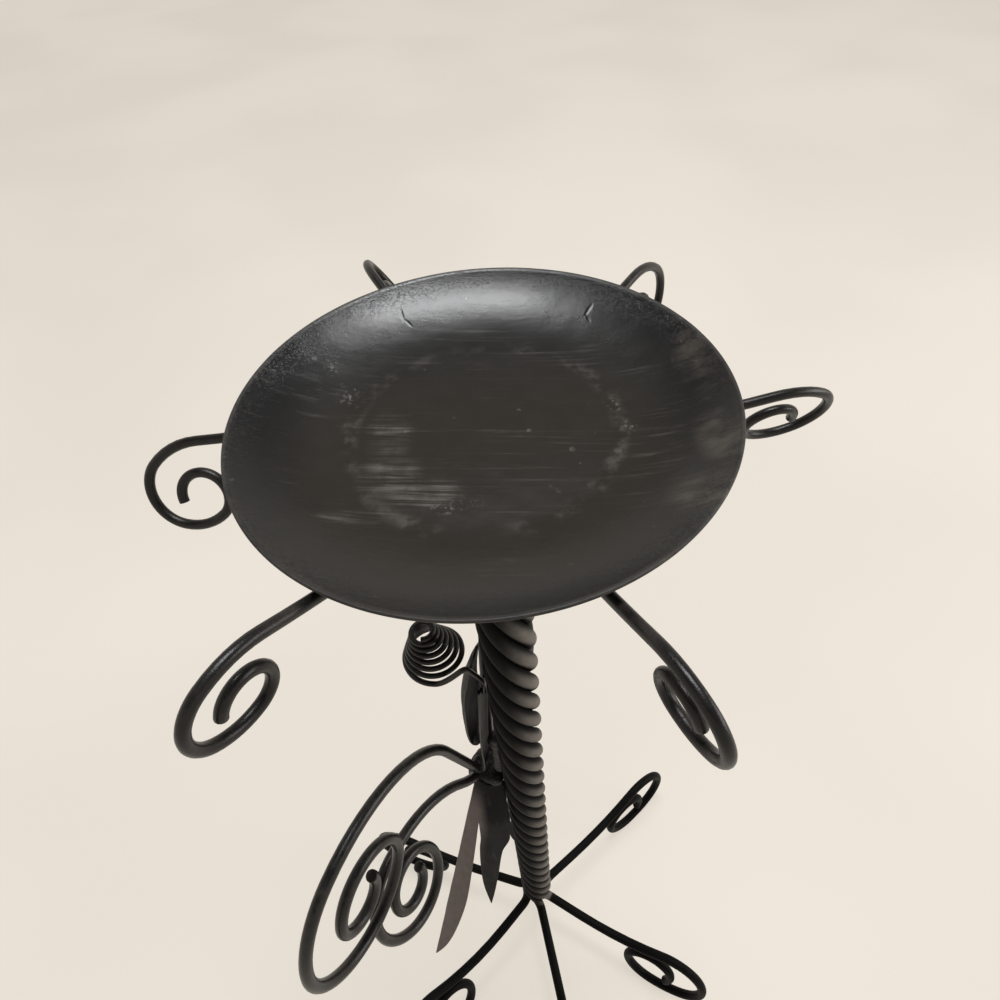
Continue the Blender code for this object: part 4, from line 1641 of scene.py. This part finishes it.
@dataclass
class Gown:
    """The body strip and the gown's pointed strips, all cut from one sheet.

    Attributes:
        angel: The figure's frame.
        body: The strip that rises from the gown.
        top_radius: Radius of the gown's top ring.
        wrap: How far the ring's rear would reach into the column.
        rear_drop: Drop of the top edge at the rear.
        flare: Growth of the radius with the drop.
        slot_drop: Drop of the front slots' tops.
        rear_slot_drop: Drop at which the side strips start to narrow.
        rear_end_drop: Drop of the rear tabs' lower ends.
        side_flare: Growth of the side strips' radius with the drop below the slots.
        front_edge: Azimuth of the front strips' inner edges.
        front_slot: Azimuth of the slots between the front and the side strips.
        rear_slot: Azimuth of the slots between the side strips and the rear tabs.
        tab_edge: Azimuth of the tabs' rear edges.
        rear_ease: Angle by which the rear edges keep clear of the column.
        crease_reach: Height on each side of the slots' tops over which the bend is eased.
        crease_passes: Times that the bend is eased.
        front_band: Height of the short band across the front.
        front_length: Length of the front strips below the slots.
        front_strip: Share of the strip's length below the slot, and the azimuths of its edges.
        side_length: Length of the side strips below the place where they start to narrow.
        side_strip: Rows of the side strip in the same form, from that place down.
        joined: Distance within which the stretches' edges are one.
        wave: Height, cycles a metre and place in the noise of the sheet's waviness.
        wave_drop: Drop below the waist at which the waviness is full.
    """

    angel: Angel
    body: BodyStrip
    top_radius: float = 0.0082
    wrap: float = 0.0003
    rear_drop: float = 0.0065
    flare: float = 0.314
    slot_drop: float = 0.033
    rear_slot_drop: float = 0.052
    rear_end_drop: float = 0.0560
    side_flare: float = 0.12
    front_edge: float = 60.0
    front_slot: float = 82.5
    rear_slot: float = 128.0
    tab_edge: float = 134.0
    rear_ease: float = 0.5
    crease_reach: float = 0.009
    crease_passes: int = 16
    front_band: float = 0.0060
    front_length: float = 0.163
    front_strip: Rows = (
        (0.0, 60.0, 82.0),
        (0.104, 60.0, 80.0),
        (0.295, 60.0, 78.0),
        (0.472, 60.0, 76.0),
        (0.669, 60.0, 71.5),
        (0.847, 60.0, 66.5),
        (1.0, 60.0, 60.5),
    )
    side_length: float = 0.094
    side_strip: Rows = (
        (0.0, 82.0, 126.5),
        (0.138, 80.5, 113.0),
        (0.479, 79.5, 102.0),
        (0.734, 81.5, 95.5),
        (1.0, 88.2, 88.8),
    )
    joined: float = 0.00004
    wave: Triple = (0.0004, 55.0, 70.0)
    wave_drop: float = 0.02

    def _radius(self, drop: float, side_part: float) -> float:
        """Read the gown's radius.

        Args:
            drop: Drop below the waist.
            side_part: 0 on the front strips and 1 on the others.

        Returns:
            The radius there.
        """
        cone = self.top_radius + self.flare * drop
        if drop <= self.slot_drop:
            return cone
        bent = self.top_radius + self.flare * self.slot_drop + self.side_flare * (drop - self.slot_drop)
        return cone + (bent - cone) * side_part

    def _rear(self, radius: float) -> float:
        """Find the rear edge on the column.

        Args:
            radius: Radius of the gown.

        Returns:
            The azimuth at which the gown comes up to the column.
        """
        near = self.angel.column.radius + SHEET / 2
        axis = self.angel.column.radius + self.top_radius - self.wrap
        cosine = (near**2 - axis**2 - radius**2) / (2 * axis * radius)
        return math.degrees(math.acos(max(-1.0, cosine))) - self.rear_ease

    def _top(self, azimuth: float) -> float:
        """Return the drop of the top edge at an azimuth."""
        return self.rear_drop * max(0.0, (azimuth - self.front_edge) / (180.0 - self.front_edge))

    def _world(self, side: Side, azimuth: float, radius: float, drop: float) -> Vector:
        """Find a point of the slightly wavy gown.

        Args:
            side: Side of the gown.
            azimuth: Azimuth on the near side, counted from forward.
            radius: Radius of the gown there.
            drop: Drop below the waist.

        Returns:
            The point in the world.
        """
        centre = Vector((self.top_radius - self.wrap, 0.0, 0.0))
        local = centre + circle_point(radius, azimuth * side.value, -drop)
        height, cycles, seed = self.wave
        shift = height * uneven(local, cycles, seed) * min(1.0, drop / self.wave_drop)
        local += circle_point(shift, azimuth * side.value, 0.0)
        return self.angel.world(local)

    def _band(self, side: Side, first: float, last: float | None) -> Placer:
        """Bend a stretch of the band above the slots.

        Args:
            side: Side of the gown.
            first: Azimuth of the stretch's first edge.
            last: Azimuth of its last edge, or None for the rear edge beside the column.

        Returns:
            The stretch's place function.
        """

        def place(across: float, along: float) -> Vector:
            """Find a point of the band.

            Args:
                across: Share of the width.
                along: Share of the height.

            Returns:
                The point in the world.
            """
            guess = self._radius(self.slot_drop * along, 0.0)
            end = last if last is not None else self._rear_at(along, guess)
            azimuth = first + (end - first) * across
            top = self._top(azimuth)
            drop = top + (self.slot_drop - top) * along
            return self._world(side, azimuth, self._radius(drop, 0.0), drop)

        return place

    def _rear_at(self, along: float, radius: float) -> float:
        """Return the rear edge's azimuth: on the column at the top and free at the slots."""
        ease = min(1.0, max(0.0, (along - 0.15) / 0.85))
        return self._rear(radius) + (self.tab_edge - self._rear(radius)) * ease

    def _strip(self, side: Side, rows: Rows, length: float, side_part: float) -> Placer:
        """Bend a strip that hangs below the slots' tops.

        Args:
            side: Side of the gown.
            rows: Share of the strip's length, and the azimuths of its edges there.
            length: Length of the strip.
            side_part: 0 on the front strips and 1 on the others.

        Returns:
            The strip's place function.
        """

        def place(across: float, along: float) -> Vector:
            """Find a point of the strip.

            Args:
                across: Share of the width.
                along: Share of the height.

            Returns:
                The point in the world.
            """
            first, last = smooth_row(rows, along)
            azimuth = first + (last - first) * across
            drop = self.slot_drop + length * along
            return self._world(side, azimuth, self._radius(drop, side_part), drop)

        return place

    @property
    def _side_whole(self) -> float:
        """Return the length of the side strips below the front slots' tops."""
        return self.rear_slot_drop - self.slot_drop + self.side_length

    def _side_rows(self) -> Rows:
        """Put the side strip's upper part before its rows.

        Returns:
            Rows as in side_strip, but measured from the front slots' tops.
        """
        upper = (self.rear_slot_drop - self.slot_drop) / self._side_whole
        rows = [(0.0, self.front_slot, self.rear_slot), (0.012, self.front_slot + 0.5, self.rear_slot)]
        for share, first, last in self.side_strip:
            rows.append((upper + (1.0 - upper) * share, first + (1.0 if share == 0.0 else 0.0), last))
        return tuple(rows)

    def _front_rows(self) -> Rows:
        """Return the front strip's rows with the slot's rounded top."""
        top = ((0.0, self.front_edge, self.front_slot), (0.012, self.front_edge, self.front_slot - 0.8))
        return top + self.front_strip[1:]

    def _tab_rows(self) -> Rows:
        """Return the rows of a rear tab."""
        slot, edge = self.rear_slot, self.tab_edge
        return (0.0, slot, edge), (0.7, slot, edge), (1.0, slot + 3.0, edge)

    def _front(self, shape: bmesh.types.BMesh) -> None:
        """Bend the body strip, its join to the gown and the short band across the gown's front.

        Args:
            shape: The bmesh that takes them.
        """

        def strip(across: float, along: float) -> Vector:
            """Return the body strip's point."""
            return self.angel.world(self.body.notched(1.0 - across * 2.0, along))

        def band(across: float, along: float) -> Vector:
            """Find a point of the short band.

            Args:
                across: Share of the width.
                along: Share of the height.

            Returns:
                The point in the world.
            """
            azimuth = self.front_edge * (1.0 - 2.0 * across)
            drop = self.front_band * along
            return self._world(Side.NEAR, azimuth, self._radius(drop, 0.0), drop)

        def join(across: float, along: float) -> Vector:
            """Return a point between the strip's foot and the band's top."""
            return strip(across, 1.0).lerp(band(across, 0.0), along)

        sheet_grid(shape, 12, 60, strip)
        sheet_grid(shape, 12, 6, join)
        sheet_grid(shape, 12, 4, band)

    def build(self, finish: SatinIron) -> None:
        """Cut, bend and join the sheet.

        Args:
            finish: Finish of the sheet.
        """
        shape = bmesh.new()
        self._front(shape)
        tab_length = self.rear_end_drop - self.slot_drop
        for side in Side:
            sheet_grid(shape, 8, 22, self._band(side, self.front_edge, self.front_slot))
            sheet_grid(shape, 14, 22, self._band(side, self.front_slot, self.rear_slot))
            sheet_grid(shape, 4, 22, self._band(side, self.rear_slot, None))
            sheet_grid(shape, 8, 100, self._strip(side, self._front_rows(), self.front_length, 0.0))
            sheet_grid(shape, 14, 80, self._strip(side, self._side_rows(), self._side_whole, 1.0))
            sheet_grid(shape, 4, 16, self._strip(side, self._tab_rows(), tab_length, 1.0))
        bmesh.ops.remove_doubles(shape, verts=shape.verts, dist=self.joined)
        crease = self.angel.world(Vector((0.0, 0.0, -self.slot_drop))).z
        soft = [v for v in shape.verts if abs(v.co.z - crease) < self.crease_reach and not v.is_boundary]
        axes = {"use_axis_x": True, "use_axis_y": True, "use_axis_z": True}
        for _ in range(self.crease_passes):
            bmesh.ops.smooth_vert(shape, verts=soft, factor=0.5, **axes)
        piece = Piece("body_and_gown_sheet", Slot.SHEET, finish.material("gown_satin_paint"))
        place_sheet(piece, shape, "angel_body_and_gown", "gown_edge_paint")


@dataclass(frozen=True)
class Roll:
    """One rolled rod of a wing.

    Attributes:
        lean: Lean of the rod's plane out of the upright.
        start: Slope of the rod's start, upwards.
        length: Length of the rod.
        seed: Place of the rod's unevenness in its noise.
        bends: Bends of the rod.
    """

    lean: float
    start: float
    length: float
    seed: float
    bends: Bends


@dataclass
class Wings:
    """The rolled rods of the two wings and the welds at the waist.

    Attributes:
        angel: The figure's frame.
        rod: Radius of the rods.
        root: Root of the upper rod, as forward, near and rise lengths.
        root_shift: Place of the lower rod's root beside the upper one's.
        near_sweep: Azimuth of the near wing's plane, counted from forward.
        far_sweep: The same of the far wing, on its own side.
        bend_step: Turn of one straight piece of a rod.
        far_dip: Angle by which the far wing's rods start lower.
        far_back: How far the far wing's roots stand further back.
        upper: The upper rod.
        lower: The lower rod.
        bed: Forward start and step, half width and rise of the weld bed at the waist.
        seam: Forward place, step upwards and number of the beads that run up the column.
        root_beads: Places of the beads at a wing's root beside that root.
    """

    angel: Angel
    rod: float = 0.0023
    root: Triple = (0.0103, 0.0078, 0.0134)
    root_shift: Triple = (0.0, 0.0015, -0.0048)
    near_sweep: float = 80.0
    far_sweep: float = 88.0
    bend_step: float = 6.0
    far_dip: float = 8.0
    far_back: float = 0.0018
    upper: Roll = Roll(
        lean=5.0,
        start=75.0,
        length=0.3335,
        seed=80.0,
        bends=(
            (0.1349, 0.5),
            (0.2519, 89.0),
            (0.1065, 61.0),
            (0.2234, 163.0),
            (0.1724, 191.0),
            (0.1109, 216.0),
        ),
    )
    lower: Roll = Roll(
        lean=17.0,
        start=35.0,
        length=0.2335,
        seed=84.0,
        bends=(
            (0.0535, -19.5),
            (0.227, 56.0),
            (0.2355, 140.0),
            (0.2099, 155.0),
            (0.1435, 146.0),
            (0.1306, 198.0),
        ),
    )
    bed: tuple[float, float, float, float] = (0.0028, 0.0032, 0.0048, -0.0024)
    seam: tuple[float, float, int] = (0.0014, 0.003, 12)
    root_beads: Rows = ((0.0006, -0.0034, 0.0016), (0.0008, -0.0028, -0.0010), (0.0002, -0.0020, -0.0036))

    def _on_side(self, side: Side, point: Vector) -> Vector:
        """Return a point of the near side on the given side, in the world."""
        return self.angel.world(Vector((point.x, side.value * point.y, point.z)))

    def _line(self, side: Side, root: Vector, roll: Roll, dip: float) -> list[Vector]:
        """Bend one rod.

        Args:
            side: Side of the angel.
            root: Root of the rod on the near side.
            roll: The rod.
            dip: Angle by which the rod starts lower.

        Returns:
            The rod's centre line in the world.
        """
        sweep = self.near_sweep if side is Side.NEAR else self.far_sweep
        outward = circle_point(1.0, sweep, 0.0)
        tilt = math.radians(roll.lean)
        upward = circle_point(math.sin(tilt), sweep - 90.0, math.cos(tilt))
        path = bend_path(roll.length, roll.bends, dip - roll.start, self.bend_step)
        return [self._on_side(side, root + outward * out - upward * down) for out, down in path]

    def _weld_waist(self, skin: bpy.types.Material) -> None:
        """Lay the weld bed between the figure and the column, and the seam above it.

        Args:
            skin: Material of the weld.
        """
        start, step, half_width, rise = self.bed
        beads = [Vector((start + step * i, half_width * j, rise)) for i in range(4) for j in (-1, 0, 1)]
        forward, step, count = self.seam
        beads += [Vector((forward, 0.0, step * i)) for i in range(1, count + 1)]
        placed = [self.angel.world(bead) for bead in beads]
        WeldShape(0.0036, 0.7, 95.0).place("weld_waist_column", skin, placed)

    def build(self, finish: SatinIron, weld: WeldScale) -> None:
        """Roll the rods of both wings and weld them to the waist.

        Args:
            finish: Finish of the rods.
            weld: Finish of the welds.
        """
        paint = finish.material("wing_satin_paint")
        skin = weld.material("waist_weld_skin")
        self._weld_waist(skin)
        facing = circle_point(1.0, self.angel.azimuth, 0.0)
        for side in Side:
            label = side.name.lower()
            dip, back = (0.0, 0.0) if side is Side.NEAR else (self.far_dip, self.far_back)
            root = Vector(self.root) - Vector((back, 0.0, 0.0))
            parts = (("upper", self.upper, root), ("lower", self.lower, root + Vector(self.root_shift)))
            for part, roll, start in parts:
                rod = RodShape(self.rod, 18, 0.02, 0.00035, roll.seed)
                piece = Piece(f"wing_scroll_{label}_{part}", Slot.ROD, paint)
                piece.place(rod.draw(self._line(side, start, roll, dip)), (f"wing_{label}_{part}",))
            centre = Vector(self.root)
            beads = []
            for forward, aside, rise in self.root_beads:
                beads.append(self._on_side(side, centre + Vector((forward - back * 0.5, aside, rise))))
            welded = WeldShape(0.0021, 0.85, 90.0 + side.value)
            welded.place(f"weld_wing_root_{label}", skin, beads, facing, (f"weld_waist_{label}",))


# Stage, light and camera


@dataclass(frozen=True)
class Studio:
    """The pale floor, the soft lamps and the camera.

    Attributes:
        floor_height: Height of the floor under the feet.
        floor_radius: Radius of the floor.
        cloth: Colour of the floor and of the far background.
        shown: Share of the floor's colour that shows without shadow.
        horizon: Brightness of the world at the horizon beside the cloth's.
        ceiling: Colour of the world overhead.
        dims: Upward share of a direction between which the horizon's colour fades overhead.
        fold_shade: Brightness of the painted shade of the cloth's folds beside its flat places.
        lens: Focal length for a 36 mm sensor.
        place: Place of the camera.
        right: Direction to the right in the photograph.
        up: Direction upwards in the photograph.
    """

    floor_height: float = -0.4993
    floor_radius: float = 6.0
    cloth: Colour = (0.885, 0.820, 0.730)
    shown: float = 0.7
    horizon: float = 0.80
    ceiling: Colour = (0.10, 0.105, 0.115)
    dims: tuple[float, float] = (0.40, 0.64)
    fold_shade: float = 0.955
    lens: float = 24.84
    place: Triple = (0.0024, -0.1257, 0.1137)
    right: Triple = (0.9947, -0.0768, -0.0689)
    up: Triple = (0.1031, 0.7403, 0.6643)

    def floor_paint(self) -> bpy.types.Material:
        """Make the floor's pale paint, a share of which shows as it is and the rest with shadows.

        Returns:
            The finished material.
        """
        graph = Graph("pale_cloth")
        # Painted shade: the cloth's folds are darker streaks on the flat floor.
        fold_shade_share = graph.step(graph.noise(2.2, 2.0, 0.4), 0.35, 0.65)
        colour = graph.blend(self.cloth, tuple(self.fold_shade * part for part in self.cloth), fold_shade_share)
        glow = graph.node("ShaderNodeEmission", None, {"Color": colour, "Strength": 1.0})
        seen = graph.node("ShaderNodeLightPath", output="Is Camera Ray")
        for ray in ("Is Glossy Ray", "Is Transmission Ray"):
            seen = seen + graph.node("ShaderNodeLightPath", output=ray)
        material = graph.finish(colour, 0.9, shine=0.1)
        lit = Signal(graph, graph.shader.outputs[0])
        mixed = graph.node("ShaderNodeMixShader", None, {0: seen * self.shown, 1: lit, 2: glow})
        graph.tree.links.new(mixed.socket, graph.tree.nodes["Material Output"].inputs["Surface"])
        return material

    def floor(self) -> None:
        """Lay the pale floor."""
        shape = bmesh.new()
        bmesh.ops.create_circle(shape, cap_ends=True, segments=96, radius=self.floor_radius)
        bmesh.ops.translate(shape, vec=(0.0, 0.0, self.floor_height), verts=shape.verts)
        mesh = bpy.data.meshes.new("studio_floor")
        shape.to_mesh(mesh)
        shape.free()
        mesh.materials.append(self.floor_paint())
        made = bpy.data.objects.new("studio_floor", mesh)
        bpy.context.scene.collection.objects.link(made)

    def world(self) -> None:
        """Make a world that is pale at the horizon and dim overhead."""
        world = bpy.data.worlds.new("studio_world")
        world.use_nodes = True
        bpy.context.scene.world = world
        tree = world.node_tree
        background = tree.nodes["Background"]
        coords = tree.nodes.new("ShaderNodeTexCoord")
        split = tree.nodes.new("ShaderNodeSeparateXYZ")
        rise = tree.nodes.new("ShaderNodeMapRange")
        rise.interpolation_type = "SMOOTHSTEP"
        rise.inputs["From Min"].default_value, rise.inputs["From Max"].default_value = self.dims
        mix = tree.nodes.new("ShaderNodeMix")
        mix.data_type = "RGBA"
        mix.inputs[6].default_value = (*(self.horizon * part for part in self.cloth), 1.0)
        mix.inputs[7].default_value = (*self.ceiling, 1.0)
        tree.links.new(coords.outputs["Generated"], split.inputs[0])
        tree.links.new(split.outputs["Z"], rise.inputs["Value"])
        tree.links.new(rise.outputs[0], mix.inputs[0])
        tree.links.new(mix.outputs[2], background.inputs["Color"])
        background.inputs["Strength"].default_value = 1.0

    def lamp(
        self, name: str, place: Vector, size: tuple[float, float], power: float, colour: Colour
    ) -> None:
        """Hang one soft rectangular lamp that points at the stand.

        Args:
            name: Name of the lamp.
            place: Middle of the lamp.
            size: Its width and height.
            power: Its power in watts.
            colour: Colour of its light.
        """
        light = bpy.data.lights.new(name, "AREA")
        light.shape = "RECTANGLE"
        light.size, light.size_y = size
        light.energy = power
        light.color = colour
        made = bpy.data.objects.new(name, light)
        made.location = place
        aim = Vector((0.0, 0.0, -0.1)) - place
        made.rotation_euler = aim.to_track_quat("-Z", "Y").to_euler()
        bpy.context.scene.collection.objects.link(made)

    def camera(self) -> None:
        """Set the camera where the photograph was taken."""
        data = bpy.data.cameras.new("photo_camera")
        data.sensor_width = 36.0
        data.lens = self.lens
        data.clip_start = 0.01
        data.dof.use_dof = False
        made = bpy.data.objects.new("photo_camera", data)
        right, up = Vector(self.right).normalized(), Vector(self.up).normalized()
        back = right.cross(up)
        turn = Matrix((right, up, back)).transposed().to_4x4()
        made.matrix_world = Matrix.Translation(Vector(self.place)) @ turn
        bpy.context.scene.collection.objects.link(made)
        bpy.context.scene.camera = made

    def build(self) -> None:
        """Set up floor, world, lamps, camera and view."""
        self.floor()
        self.world()
        self.lamp("overhead_softbox", Vector((0.10, 0.33, 1.55)), (0.80, 0.44), 23.5, (0.98, 0.99, 1.0))
        self.lamp("right_window", Vector((1.9, -0.1, 0.40)), (1.2, 0.8), 16.0, (1.0, 0.99, 0.97))
        self.camera()
        bpy.context.scene.view_settings.view_transform = "Standard"


def dress_core(frame: dict[str, object], finish: SatinIron) -> None:
    """Paint the core rod, which only shows between the twisted rods.

    Args:
        frame: The loaded frame.
        finish: Finish of the core rod.
    """
    core = frame["nodes"]["column_core"]
    paint = finish.material("core_satin_paint")
    for slot in core.material_slots:
        slot.material = paint
    LOG.info("column_core: carried over with new paint")


def main() -> None:
    """Build and dress the candle holder."""
    logging.basicConfig(level=logging.INFO, format="%(name)s: %(message)s")
    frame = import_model()
    Studio().build()
    weld = WeldScale()
    iron = SatinIron()
    dish = Dish()
    dish.build(WornDish())
    column = Column()
    column.build(TwistedIron(), weld)
    dress_core(frame, iron)
    Arms(column, dish).build(iron, weld)
    angel = Angel(column)
    body = BodyStrip()
    Head(angel, body).build(SatinIron(gloss=0.30), weld)
    # On the chest, the pale grey of the upward faces is a painted reflection of the bright light from
    # above.
    chest = SatinIron(
        black=(0.0040, 0.0046, 0.0062),
        dust_and_sheen=(0.32, 0.31, 0.30),
        gloss=0.52,
        wear=0.05,
        shine=0.08,
        dust_and_sheen_amount=0.9,
        lie=(0.12, 0.27),
        forging=0.0001,
        tooth=0.3,
    )
    Bodice().build(angel, chest)
    gown = GownIron(black=(0.0028, 0.0029, 0.0038), gloss=0.46, wear=0.12, shine=0.07)
    Gown(angel, body).build(gown)
    # The lighter tops of the wing rods are a painted sheen.
    Wings(angel).build(SatinIron(gloss=0.27, shine=0.36, dust_and_sheen_amount=0.22), weld)


if __name__ == "__main__":
    main()
